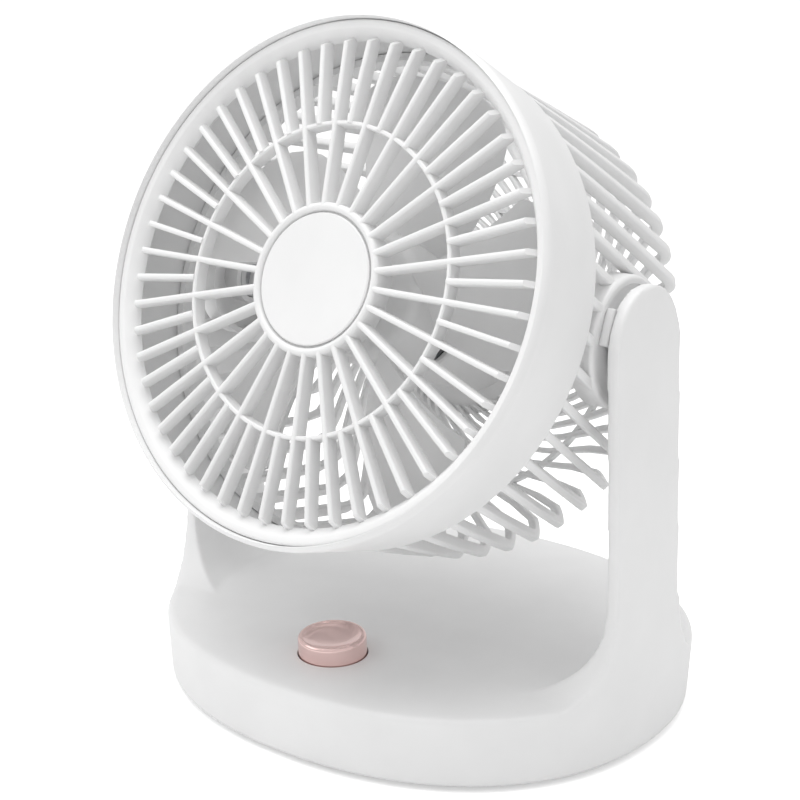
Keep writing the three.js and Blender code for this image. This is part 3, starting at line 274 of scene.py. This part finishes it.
def finish(
    name, colour, rough, drift=0.02, rough_drift=0.05, grain=900, bump=0.02, depth=0.0001, metal=0.0
):
    material = bpy.data.materials.new(name)
    material.use_nodes = True
    nodes, links = material.node_tree.nodes, material.node_tree.links
    shader = nodes["Principled BSDF"]
    place = nodes.new("ShaderNodeTexCoord")
    cloud = nodes.new("ShaderNodeTexNoise")
    cloud.inputs["Scale"].default_value = CLOUD_SCALE
    cloud.inputs["Detail"].default_value = 3
    links.new(place.outputs["Object"], cloud.inputs["Vector"])
    tint = nodes.new("ShaderNodeValToRGB")
    tint.color_ramp.elements[0].position = CLOUD_LOW
    tint.color_ramp.elements[1].position = CLOUD_HIGH
    tint.color_ramp.elements[0].color = (*[c * (1 - drift) for c in colour], 1)
    tint.color_ramp.elements[1].color = (*[min(1, c * (1 + drift)) for c in colour], 1)
    links.new(cloud.outputs["Fac"], tint.inputs["Fac"])
    links.new(tint.outputs["Color"], shader.inputs["Base Color"])
    gloss = nodes.new("ShaderNodeMapRange")
    gloss.inputs["From Min"].default_value = CLOUD_LOW
    gloss.inputs["From Max"].default_value = CLOUD_HIGH
    gloss.inputs["To Min"].default_value = rough - rough_drift
    gloss.inputs["To Max"].default_value = rough + rough_drift
    links.new(cloud.outputs["Fac"], gloss.inputs["Value"])
    links.new(gloss.outputs["Result"], shader.inputs["Roughness"])
    ripple = nodes.new("ShaderNodeTexNoise")
    ripple.inputs["Scale"].default_value = grain
    ripple.inputs["Detail"].default_value = 2
    links.new(place.outputs["Object"], ripple.inputs["Vector"])
    lift = nodes.new("ShaderNodeBump")
    lift.inputs["Strength"].default_value = bump
    lift.inputs["Distance"].default_value = depth
    links.new(ripple.outputs["Fac"], lift.inputs["Height"])
    links.new(lift.outputs["Normal"], shader.inputs["Normal"])
    shader.inputs["Metallic"].default_value = metal
    return material


# %% The fan's finishes
white = finish("white moulded plastic", (0.86, 0.86, 0.86), 0.38, bump=0.25, depth=0.00004, grain=1400)
inner_white = finish("inner white plastic", (0.70, 0.705, 0.71), 0.5, bump=0.3, depth=0.00005)
rose_gold = (0.92, 0.68, 0.65)
rose = finish("rose-gold plating", rose_gold, 0.13, rough_drift=0.04, bump=0.06, depth=0.00004, metal=1.0)
steel = finish("zinc-plated steel", (0.55, 0.56, 0.58), 0.3, drift=0.06, bump=0.2, depth=0.00005, metal=1.0)
rubber = finish("grey rubber", (0.32, 0.32, 0.33), 0.8, drift=0.08, bump=0.5, depth=0.0001)
board_green = finish("green circuit board", (0.03, 0.15, 0.07), 0.4, drift=0.1, bump=0.3, depth=0.00005)
black = finish("black ferrite and plastic", (0.025, 0.025, 0.027), 0.55, drift=0.15, bump=0.4, depth=0.0001)
red = finish("red wire covering", (0.5, 0.03, 0.025), 0.45, drift=0.08, bump=0.2, depth=0.00005)
SLOTS = {
    "white_plastic": white,
    "inner_plastic": inner_white,
    "rubber": rubber,
    "steel": steel,
    "board": board_green,
    "dark": black,
    "red_lead": red,
    "rose_metal": rose,
}
for part in frame["record"]["subparts"]:
    node = frame["nodes"][part["node"]]
    node.data.materials.clear()
    node.data.materials.append(SLOTS[part["material_slot"]])
print("finishes:", sorted(m.name for m in SLOTS.values()))


def finished(piece, body, slot, *stands_for):
    piece.data.materials.clear()
    piece.data.materials.append(SLOTS[slot])
    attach(piece, body)
    if stands_for:
        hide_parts(*stands_for)
    print(piece.name, len(piece.data.polygons), "faces")
    return piece


# %% [markdown]
# ## The barrel
# A short tube, 189 mm across at its front, a little narrower behind. It would be one moulding with a
# rounded front rim that turns in to a seat for the grille. It is turned here from one closed profile,
# with the rim drawn as an arc so that its highlight runs round evenly.

# %% Turn the barrel
RIM = 3.5  # radius of the rounded rim
LIP = 92.5  # inside the rim, where the grille's ring fits
BARREL_BORE = 89.2
SEAT_DEPTH, SEAT_LEDGE = 11.5, 2.3
barrel_profile = [
    (BARREL_BORE, BARREL_REAR),
    (91.0, BARREL_REAR),
    (91.5, BARREL_REAR + 0.5),
    (93.0, 45.0),
    *arc(HEAD_RADIUS - RIM, FRONT - RIM, RIM, 0, 60, 9),
    (LIP, FRONT - 1.0),
    (LIP, FRONT - SEAT_DEPTH),
    (90.2, FRONT - SEAT_DEPTH),
    (90.2, FRONT - SEAT_DEPTH - SEAT_LEDGE),
    (BARREL_BORE, BARREL_REAR),
]
barrel = done(settle(turned("barrel_shell", barrel_profile, 160), HEAD))
finished(barrel, "head", "white_plastic", "barrel")

# %% [markdown]
# ## The front grille
# A ring, a thin middle ring, a hub cup and 52 ribs, long and short in turn. Each rib is a flat blade
# with rounded front edges, and its outer end slopes away as a wedge where it meets the ring. One long
# and one short rib are shaped from a cube, and then copied round.

# %% Model one rib
RIB = 2.1  # width of a rib
RIB_DEPTH = 6.4
RIB_PAIRS = 26
RING_INNER = 87.6
MIDDLE_RING = 55.4


def rib(name, start, end):
    piece = block(name, start, end, -RIB / 2, RIB / 2, FACE - RIB_DEPTH, FACE)
    edit(piece)
    bpy.ops.mesh.select_all(action="DESELECT")
    shape = bmesh.from_edit_mesh(piece.data)
    for v in shape.verts:
        v.select_set(v.co.x > (end - 0.1) * MM and v.co.z > (FACE - 1) * MM)
    shape.select_flush_mode()
    bmesh.update_edit_mesh(piece.data)
    bpy.ops.transform.translate(value=(-3.2 * MM, 0, -0.9 * MM))
    bpy.ops.mesh.select_all(action="DESELECT")
    shape = bmesh.from_edit_mesh(piece.data)
    for e in shape.edges:
        e.select_set(all(v.co.z > (FACE - 2) * MM for v in e.verts) and e.calc_length() > 3 * MM)
    bmesh.update_edit_mesh(piece.data)
    bpy.ops.mesh.bevel(offset=0.9 * MM, segments=4, affect="EDGES")
    return done(piece)


long_ribs = ring_of_copies(rib("long_rib", 26.0, RING_INNER), RIB_PAIRS, "long_ribs")
short_rib = rib("short_rib", MIDDLE_RING, RING_INNER)
settle(short_rib, Matrix.Rotation(math.pi / RIB_PAIRS, 4, "Z"))
short_ribs = ring_of_copies(short_rib, RIB_PAIRS, "short_ribs")
print("ribs", len(long_ribs.data.polygons) + len(short_ribs.data.polygons))

# %% Turn the rings and the hub, and join the grille
outer_profile = [
    (RING_INNER, FACE - 8.8),
    (92.25, FACE - 8.8),
    (92.25, FACE - 1.6),
    *arc(91.3, FACE - 1.4, 0.9, 10, 100, 5),
    (89.6, FACE - 0.75),
    (88.9, FACE - 1.1),
    (85.8, FACE - 6.2),
    (85.9, FACE - 6.6),
    (RING_INNER, FACE - 8.8),
]
grille_ring = turned("grille_ring", outer_profile, 160)
middle_profile = [
    (54.5, FACE - 6.4),
    (56.3, FACE - 6.4),
    (56.2, FACE - 1.4),
    (55.8, FACE - 0.9),
    (55.0, FACE - 0.9),
    (54.6, FACE - 1.4),
    (54.5, FACE - 6.4),
]
middle_ring = turned("middle_ring", middle_profile, 128)
hub_profile = [
    (0, FACE - 3.6),
    (23.9, FACE - 3.6),
    (23.9, FACE - 9.1),
    (27.2, FACE - 9.1),
    *arc(25.7, FACE - 1.5, 1.5, 0, 175, 10),
    (24.0, FACE - 2.2),
    (0, FACE - 2.2),
]
hub_cup = turned("hub_cup", hub_profile, 96)
grille = join(grille_ring, middle_ring, hub_cup, long_ribs, short_ribs)
grille.name = "grille_face"
done(settle(grille, HEAD))
finished(grille, "head", "white_plastic", "front_grille")

# %% [markdown]
# ## The hub's disc
# A plain round disc drops into the hub cup and closes it. Its face is very slightly dished, so
# it catches the light differently from the rim around it.

# %% Turn the disc
disc_profile = [
    (0, FACE - 1.9),
    (23.3, FACE - 1.9),
    (23.4, FACE - 0.9),
    (23.0, FACE - 0.55),
    (21.5, FACE - 0.6),
    (12.0, FACE - 1.0),
    (0, FACE - 1.15),
]
disc = done(settle(turned("hub_disc", disc_profile, 96), HEAD))
finished(disc, "head", "white_plastic", "hub_badge")

# %% [markdown]
# ## The rear guard
# Forty-eight bars leave the barrel's rear edge, lean along the side, round the corner and swirl to the
# motor plate. One bar is pulled out of a plane: its end is extruded and turned station by station in
# the upright plane, its edges are rounded, and then each point is turned about the head's axis by an
# angle that grows along the bar. That last move is the swirl. Copies make the cage.

# %% Pull one bar
BACK = -43.0
BAR_COUNT = 48
BAR_DEPTH, BAR_WIDTH = 4.4, 3.2
CORNER_R, CORNER_Z, BEND = 80.2, -33.0, 7.8
stations = [(89.0, 27.7, 0), (88.7, 10.0, 0), (88.4, -8.0, 0), (CORNER_R + BEND, CORNER_Z, 0)]
for step in range(1, 7):
    facing = math.radians(15 * step)
    stations.append((CORNER_R + BEND * math.cos(facing), CORNER_Z - BEND * math.sin(facing), 15 * step))
for r in (72, 66, 60, 54, 48, 42, 36, 30):
    stations.append((r, CORNER_Z - BEND, 90))
pick()
r, z, facing = stations[0]
bpy.ops.mesh.primitive_plane_add(size=MM, location=(r * MM, 0, z * MM))
bar = bpy.context.object
bar.scale = (BAR_DEPTH, BAR_WIDTH, 1)
bpy.ops.object.transform_apply(location=True, rotation=True, scale=True)
edit(bar)
for next_r, next_z, next_facing in stations[1:]:
    step = {"value": ((next_r - r) * MM, 0, (next_z - z) * MM)}
    bpy.ops.mesh.extrude_region_move(TRANSFORM_OT_translate=step)
    centre = Vector((next_r * MM, 0, next_z * MM))
    if next_facing != facing:
        turn = Matrix.Rotation(math.radians(next_facing - facing), 4, "Y")
        shape = bmesh.from_edit_mesh(bar.data)
        bmesh.ops.rotate(shape, cent=centre, matrix=turn, verts=[v for v in shape.verts if v.select])
        bmesh.update_edit_mesh(bar.data)
    if next_r < 70:
        bpy.ops.transform.resize(value=(1, 0.955, 1), center_override=centre)
    r, z, facing = next_r, next_z, next_facing
bpy.ops.mesh.select_all(action="SELECT")
bpy.ops.mesh.normals_make_consistent(inside=False)
bpy.ops.object.mode_set(mode="OBJECT")
apply(bar, "round", "BEVEL", width=0.7 * MM, segments=3, limit_method="ANGLE", angle_limit=math.radians(50))
print("one bar:", len(bar.data.polygons), "faces")

# %% Swirl the bar and copy it round
SIDE_START, SIDE_LENGTH, BACK_LENGTH = 27.5, 68.2, 50
SIDE_LEAN, BACK_SWIRL, SWIRL_EASE = -10.8, -62, 1.5
for v in bar.data.vertices:
    along = min(max((SIDE_START - v.co.z / MM) / SIDE_LENGTH, 0), 1)
    inward = min(max((CORNER_R - v.co.x / MM) / BACK_LENGTH, 0), 1)
    turn = math.radians(SIDE_LEAN * along + BACK_SWIRL * inward**SWIRL_EASE)
    v.co = Matrix.Rotation(turn, 3, "Z") @ v.co
cutters = []
for side in (-1, 1):
    tool = rod("pod_room", 22.6, 60, 100)
    settle(tool, Matrix.Translation((0, DROP * MM, 0)) @ TO_X)
    if side < 0:
        tool = settle(tool, FLIP)
        edit(tool)
        bpy.ops.mesh.normals_make_consistent(inside=False)
        pick(tool)
    cutters.append(tool)
bars = ring_of_copies(bar, BAR_COUNT, "guard_bars", cutters)
done(bars, 40)
print("guard bars", len(bars.data.polygons))

# %% [markdown]
# The motor plate, its shroud, two hoops that tie the bars and the collar that sits in the barrel are
# all turned. The pods are the round cheeks that the pivots pass through; the right one carries the
# little block that stops the tilt.

# %% Turn the plate, collar and hoops
plate_profile = [
    (4.5, BACK + 2.8),
    (22.3, BACK + 2.8),
    (22.3, 2),
    (23.6, 2),
    (24.3, 1.3),
    (24.3, BACK + 2.8),
    (33.0, BACK + 2.8),
    (33.0, BACK + 0.8),
    (32.3, BACK),
    (29.0, BACK),
    (28.4, BACK + 0.4),
    (27.8, BACK),
    (5.0, BACK),
    (4.5, BACK + 0.5),
    (4.5, BACK + 2.8),
]
plate = turned("motor_plate", plate_profile, 96)
SCREW_CIRCLE = 13
screw_holes = []
for i in range(3):
    angle = math.pi / 2 + 2 * math.pi * i / 3
    spot = Matrix.Translation(Vector((math.cos(angle), math.sin(angle), 0)) * SCREW_CIRCLE * MM)
    screw_holes.append(settle(rod("screw_head_room", 3.1, BACK - 1, BACK + 1.4, 32), spot))
    screw_holes.append(settle(rod("screw_room", 1.6, BACK - 1, BACK + 4, 24), spot))
cut(plate, *screw_holes)


def hoop(name, r, width, low, high):
    inner, outer = r - width / 2, r + width / 2
    return turned(name, [(inner, low), (outer, low), (outer, high), (inner, high), (inner, low)], 96)


collar = hoop("collar", 87.7, 2.6, 26.1, 33.4)
hoops = [hoop("hoop", r, 1.6, BACK + 1.2, BACK + 4.2) for r in (48, 63.5)]
pod_profile = [
    (8.3, 81.8),
    (10.5, 81.8),
    (10.5, 88.4),
    (21.3, 88.4),
    (21.3, 81.8),
    (23.5, 81.8),
    *arc(21.9, 89.2, 1.6, 0, 90, 6),
    (20.6, 90.8),
    (20.2, 90.2),
    (11.6, 90.2),
    (11.2, 90.8),
    (8.3, 90.8),
    (8.3, 81.8),
]
right_pod = settle(turned("right_pod", pod_profile, 72), Matrix.Translation((0, DROP * MM, 0)) @ TO_X)
left_pod = mirrored(right_pod, "left_pod")

# %% Box the conduit and join the guard
low, high = DROP - 7, DROP + 7
conduit = block("conduit", 23.3, 84, low, high, -12, 3, 0.9)
cut(conduit, block("conduit_bore", 20, 85, low + 1.6, high - 1.6, -14, 1.4))
strut = block("strut", -84, -23.3, low + 3.5, high - 3.5, -12, 2, 0.9)
stop_block = block("stop_block", 90.2, 93.6, DROP - 4, DROP + 9, 13.5, 18.5, 0.6)
guard = join(bars, plate, collar, *hoops, right_pod, left_pod, conduit, strut, stop_block)
guard.name = "swirl_guard"
done(settle(guard, HEAD), 40)
finished(guard, "head", "white_plastic", "rear_guard")

# %% [markdown]
# ## The impeller
# Five broad blades on a hollow hub. A blade is a thin curved sheet, so a grid is bent in code to the
# blade's sweep, pitch and camber, and Solidify gives it its wall. The hub is turned.

# %% Shape the blades
SHAFT_END, REAR = 37.0, 9.5
BLADE_COUNT, ROOT, TIP = 5, 24.2, 81.6
SPREAD, PITCH = math.radians(52), 26
pick()
bpy.ops.mesh.primitive_grid_add(x_subdivisions=14, y_subdivisions=12, size=1)
blade = bpy.context.object
for v in blade.data.vertices:
    share, t = v.co.y + 0.5, v.co.x
    fade = 1 - 0.18 * (2 * t) ** 4 * share
    r = ROOT + (TIP - ROOT) * share * fade
    angle = 0.22 * share + SPREAD * (1 - 0.12 * share) * t
    height = (REAR + SHAFT_END) / 2 + 1 + PITCH * (1 - 0.25 * share) * t + (0.25 - t * t) * 9
    v.co = Vector((r * math.cos(angle), r * math.sin(angle), height)) * MM
apply(blade, "wall", "SOLIDIFY", thickness=1.6 * MM, offset=0)
edit(blade)
bpy.ops.mesh.normals_make_consistent(inside=False)
bpy.ops.object.mode_set(mode="OBJECT")
blades = ring_of_copies(blade, BLADE_COUNT, "blades")
hub_shell = [
    (1.8, REAR),
    (4.8, REAR),
    (4.8, SHAFT_END - 4),
    (21, SHAFT_END - 6),
    (23, SHAFT_END - 10),
    (23, REAR),
    (25, REAR),
    (25, SHAFT_END - 6),
    *arc(21, SHAFT_END - 5, 4, 0, 90, 6),
    (1.8, SHAFT_END - 1),
    (1.8, REAR),
]
impeller_hub = turned("impeller_hub", hub_shell, 72)
impeller = join(impeller_hub, blades)
impeller.name = "blade_wheel"
done(settle(impeller, HEAD))
finished(impeller, "rotor", "white_plastic", "impeller")

# %% [markdown]
# ## The base and its arms
# One moulding: a thick oval slab whose side wall rises on each side as an arm. The slab and the wall
# are lofted through ovals, the arms' outline is extruded across the whole width, and what the wall and
# the outline share is the arms. Remesh melts slab and arms to one skin, and smoothing rounds every
# edge alike, as a mould's polished corners are. The hollow and the holes are cut last, so they stay crisp.

# %% Draw the ovals
HALF_WIDTH, HALF_DEPTH, RIM_HEIGHT = 105.3, 92.0, 28.6
EDGE, CROWN, BOTTOM = 3.0, 1.2, 2.0
ARM_HALF, ARM_WALL, ARM_LEAN = 21.3, 4.8, 6.3
ARM_TOP = PIVOT_Z + ARM_HALF + 1
ARM_FOOT = RIM_HEIGHT - EDGE
FLARE_Z, FLARE = 66.0, 27.0
OVAL_POWER, SQUARER = 2.2, 2.8  # the arms' tops are squarer ovals than the base
WALL = 2.8  # thickness of the base's top


def oval(inset, z, power=OVAL_POWER, points=180):
    half_x, half_y = HALF_WIDTH - inset, HALF_DEPTH - inset
    ring = []
    for i in range(points):
        a = 2 * math.pi * (i + 0.5) / points
        c, s = math.cos(a), math.sin(a)
        r = (abs(c / half_x) ** power + abs(s / half_y) ** power) ** (-1 / power)
        ring.append(Vector((r * c, r * s, z)))
    return ring


def arm_inset(z):
    return ARM_LEAN * (z - ARM_FOOT) / (ARM_TOP - ARM_FOOT)


deepest = HALF_DEPTH - 2


def crown_at(inset):
    return RIM_HEIGHT + CROWN * (1 - (1 - inset / deepest) ** 2)


slab_rings = [oval(2.4, BOTTOM), oval(1.2, BOTTOM + 1.2), oval(0.6, RIM_HEIGHT / 2)]
for a in (0, 0.26, 0.52, 0.79, 1.05, 1.31, 1.57):
    slab_rings.append(oval(EDGE * (1 - math.cos(a)), ARM_FOOT + EDGE * math.sin(a)))
slab_rings += [oval(i, crown_at(i)) for i in (12, 25, 40, 55, 70, 82, deepest)]
slab = lofted("base_slab", slab_rings)
print("slab", len(slab.data.polygons))

# %% Loft the wall and cut the arms' outline from it
def power_at(z):
    share = min(max((z - ARM_FOOT) / (1.5 * FLARE_Z - ARM_FOOT), 0), 1)
    return OVAL_POWER + SQUARER * share * share * (3 - 2 * share)


heights = [ARM_FOOT + (ARM_TOP + 2 - ARM_FOOT) * i / 16 for i in range(17)]
wall = lofted(
    "arm_wall",
    [oval(0.6, RIM_HEIGHT / 2)] + [oval(arm_inset(z), z, power_at(z)) for z in heights],
)
inner_rings = []
for i in range(9):
    a = math.pi / 2 * i / 8
    z = RIM_HEIGHT - 1 + 30 * (1 - math.cos(a))
    inner_rings.append(oval(ARM_WALL + arm_inset(z) + 20 * (1 - math.sin(a)), z, power_at(z)))
for z in [62 + (ARM_TOP + 6 - 62) * i / 10 for i in range(1, 11)]:
    inner_rings.append(oval(ARM_WALL + arm_inset(z), z, power_at(z)))
wall_inside = lofted("wall_inside", inner_rings)
cut(wall, wall_inside)


def curve3(a, b, c, steps):
    out = []
    for i in range(1, steps + 1):
        t = i / steps
        out.append((1 - t) ** 2 * a + 2 * t * (1 - t) * b + t * t * c)
    return out


front_foot = Vector((PIVOT_Y - ARM_HALF - FLARE, ARM_FOOT))
rear_foot = Vector((PIVOT_Y + ARM_HALF + FLARE, ARM_FOOT))
front_neck = Vector((PIVOT_Y - ARM_HALF, FLARE_Z))
rear_neck = Vector((PIVOT_Y + ARM_HALF, FLARE_Z))
outline = [Vector((front_foot.x, 15)), front_foot]
outline += curve3(front_foot, Vector((front_neck.x - 1, RIM_HEIGHT)), front_neck, 14)
for i in range(33):
    a = math.pi - math.pi * i / 32
    outline.append(Vector((PIVOT_Y + ARM_HALF * math.cos(a), PIVOT_Z + ARM_HALF * math.sin(a))))
outline += [rear_neck]
outline += curve3(rear_neck, Vector((rear_neck.x + 1, RIM_HEIGHT)), rear_foot, 14)
outline += [Vector((rear_foot.x, 15))]
pick()
bpy.ops.mesh.primitive_circle_add(vertices=len(outline), radius=MM, fill_type="NGON")
arm_sheet = bpy.context.object
for v, p in zip(arm_sheet.data.vertices, outline):
    v.co = Vector((-110, p.x, p.y)) * MM
edit(arm_sheet)
bpy.ops.mesh.extrude_region_move(TRANSFORM_OT_translate={"value": (220 * MM, 0, 0)})
bpy.ops.mesh.select_all(action="SELECT")
bpy.ops.mesh.normals_make_consistent(inside=False)
bpy.ops.object.mode_set(mode="OBJECT")
apply(wall, "arms", "BOOLEAN", operation="INTERSECT", solver="EXACT", object=arm_sheet)
bpy.data.objects.remove(arm_sheet)
print("arms", len(wall.data.polygons))

# %% Melt slab and arms together
boss = settle(rod("boss", 14, 91.2, 98), TO_X)
settle(boss, Matrix.Translation(Vector((0, PIVOT_Y, PIVOT_Z)) * MM))
other_boss = mirrored(boss, "other_boss")
for piece in (wall, boss, other_boss):
    apply(slab, "add", "BOOLEAN", operation="UNION", solver="EXACT", object=piece)
    bpy.data.objects.remove(piece)
VOXEL = 1.05
apply(slab, "melt", "REMESH", mode="VOXEL", voxel_size=VOXEL * MM)
apply(slab, "polish", "SMOOTH", factor=0.5, iterations=6)
print("melted skin", len(slab.data.polygons))
apply(slab, "thin", "DECIMATE", ratio=0.45)
print("thinned skin", len(slab.data.polygons))

# %% Cut the hollow and the holes
inset = 3.2
hollow = lofted(
    "hollow",
    [
        oval(inset + 1.2, BOTTOM - 3),
        oval(inset, ARM_FOOT - 2.6),
        oval(inset + EDGE, RIM_HEIGHT - WALL),
        oval(deepest / 2, crown_at(deepest / 2) - WALL),
        oval(deepest, crown_at(deepest) - WALL),
    ],
)
sockets = rod("sockets", 5.3, -96.2, 96.2)
settle(sockets, Matrix.Translation(Vector((0, PIVOT_Y, PIVOT_Z)) * MM) @ TO_X)
KNOB_LEAN = math.radians(3)
KNOB_Y = 34.3 - HALF_DEPTH
KNOB_FOOT = crown_at(HALF_DEPTH + KNOB_Y)
KNOB = Matrix.Translation(Vector((0, KNOB_Y, KNOB_FOOT)) * MM) @ Matrix.Rotation(KNOB_LEAN, 4, "X")
knob_hole = settle(rod("knob_hole", 13.25, -9, 6, 96), KNOB)
inlet_hole = block("inlet_hole", -5.3, 5.3, HALF_DEPTH - 24, HALF_DEPTH + 3, 9.2, 14.8)


def leaning_block(name, near, far, half, low, high):
    piece = block(name, -1, 1, PIVOT_Y - half, PIVOT_Y + half, low, high)
    for v in piece.data.vertices:
        z = v.co.z / MM
        v.co.x = (HALF_WIDTH - arm_inset(z) - (near if v.co.x > 0 else far)) * MM
    return piece


lead_channel = leaning_block("lead_channel", 1.7, 3.4, 4, ARM_FOOT - 2.6, PIVOT_Z)
cover_seat = leaning_block("cover_seat", 3.4, 9.6, 6.3, RIM_HEIGHT + 35.7, RIM_HEIGHT + 68.3)
cut(slab, hollow, sockets, knob_hole, inlet_hole, lead_channel, cover_seat)
slab.name = "base_and_arms"
done(settle(slab, Matrix.Translation((0, BASE_Y * MM, 0))), 40)
finished(slab, "stand", "white_plastic", "yoke_base")

# %% [markdown]
# ## The knob
# A plated push knob with a softly rounded rim and a dished top. Its skirt passes through the base's
# hole, and a flange under the base keeps it there. Polished metal shows every facet, so it is turned
# with many sides and a fine arc at its rim.

# %% Turn the knob
flange_top = -3.0
KNOB_RADIUS, SKIRT_BORE, FLANGE_RADIUS, STEM_END = 12.8, 11.3, 14.3, -7.4
knob_profile = [
    (0, STEM_END),
    (3, STEM_END),
    (3, 3.2),
    (SKIRT_BORE, 3.2),
    (SKIRT_BORE, flange_top - 1.2),
    (FLANGE_RADIUS, flange_top - 1.2),
    (FLANGE_RADIUS, flange_top),
    (KNOB_RADIUS, flange_top),
    (KNOB_RADIUS, 5.6),
    *arc(11.3, 5.9, 1.5, 0, 115, 10),
    (10.0, 6.95),
    (7.0, 6.6),
    (3.5, 6.45),
    (0, 6.4),
]
knob = turned("push_knob", knob_profile, 128)
settle(knob, KNOB)
done(settle(knob, Matrix.Translation((0, BASE_Y * MM, 0))), 50)
finished(knob, "knob", "rose_metal", "knob")

# %% [markdown]
# ## The feet
# Four rubber pads with a small chamfer, turned and set where the CAD feet are.

# %% Turn the feet
for number in range(1, 5):
    lowest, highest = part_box(f"foot_{number}")
    middle = (lowest + highest) / 2
    top = highest.z / MM
    foot = turned(f"rubber_foot_{number}", [(0, 0), (6.4, 0), (7.0, 0.6), (7.0, top), (0, top)], 48)
    done(settle(foot, Matrix.Translation((middle.x, middle.y, 0))))
    finished(foot, "stand", "rubber", f"foot_{number}")

# %% [markdown]
# ## Floor, light and camera
# The fan stands on a plain pale sheet. A broad soft light hangs overhead and a weaker one at the left
# front, with a pale sky round them, so the white plastic gets gentle greys instead of hard shadows.
# The paper and the sky look a little brighter to the camera than they shine on the fan.

# %% Lay the floor
pick()
bpy.ops.mesh.primitive_plane_add(size=8)
floor = bpy.context.object
floor.name = "studio_floor"
paper = finish("studio paper", (0.96, 0.96, 0.96), 0.7, drift=0.004, bump=0.05, depth=0.0001)
paper_nodes, paper_links = paper.node_tree.nodes, paper.node_tree.links
paper_shader = paper_nodes["Principled BSDF"]
paper_ray = paper_nodes.new("ShaderNodeLightPath")
lift = paper_nodes.new("ShaderNodeMapRange")
lift.inputs["To Min"].default_value = 0.0
lift.inputs["To Max"].default_value = 0.42
paper_links.new(paper_ray.outputs["Is Camera Ray"], lift.inputs["Value"])
paper_links.new(lift.outputs["Result"], paper_shader.inputs["Emission Strength"])
paper_shader.inputs["Emission Color"].default_value = (1, 1, 1, 1)
floor.data.materials.append(paper)

# %% Hang the lights
scene = bpy.context.scene
world = bpy.data.worlds.new("studio sky")
world.use_nodes = True
sky = world.node_tree.nodes["Background"]
sky.inputs["Color"].default_value = (1, 1, 1, 1)
ray = world.node_tree.nodes.new("ShaderNodeLightPath")
strength = world.node_tree.nodes.new("ShaderNodeMapRange")
strength.inputs["To Min"].default_value = 0.68
strength.inputs["To Max"].default_value = 1.1
world.node_tree.links.new(ray.outputs["Is Camera Ray"], strength.inputs["Value"])
world.node_tree.links.new(strength.outputs["Result"], sky.inputs["Strength"])
scene.world = world
scene.view_settings.view_transform = "Standard"


def soft_light(name, place, aim, size, watts):
    light = bpy.data.lights.new(name, "AREA")
    light.shape = "RECTANGLE"
    light.size, light.size_y = size
    light.energy = watts
    lamp = bpy.data.objects.new(name, light)
    scene.collection.objects.link(lamp)
    lamp.location = place
    lamp.rotation_euler = (Vector(aim) - Vector(place)).to_track_quat("-Z", "Y").to_euler()
    return lamp


soft_light("key", (-0.75, -0.75, 0.95), (0, 0, 0.1), (0.9, 0.7), 1.6)
soft_light("top", (-0.1, -0.1, 1.3), (0, 0, 0.1), (1.2, 1.2), 10.0)

# %% Set the camera
lens = bpy.data.cameras.new("camera")
lens.lens = 77.5
lens.sensor_width = 36
camera = bpy.data.objects.new("camera", lens)
scene.collection.objects.link(camera)
camera.location = pivot + Vector((379.2, -501.0, 149.2)) * MM
target = pivot + Vector((-1.9, -7.9, -35.4)) * MM
camera.rotation_euler = (target - camera.location).to_track_quat("-Z", "Y").to_euler()
scene.camera = camera
print("camera at", [round(v, 3) for v in camera.location])

# %% [markdown]
# ## Tidy up
# Nothing is left selected at the end.

# %% Deselect everything
pick()
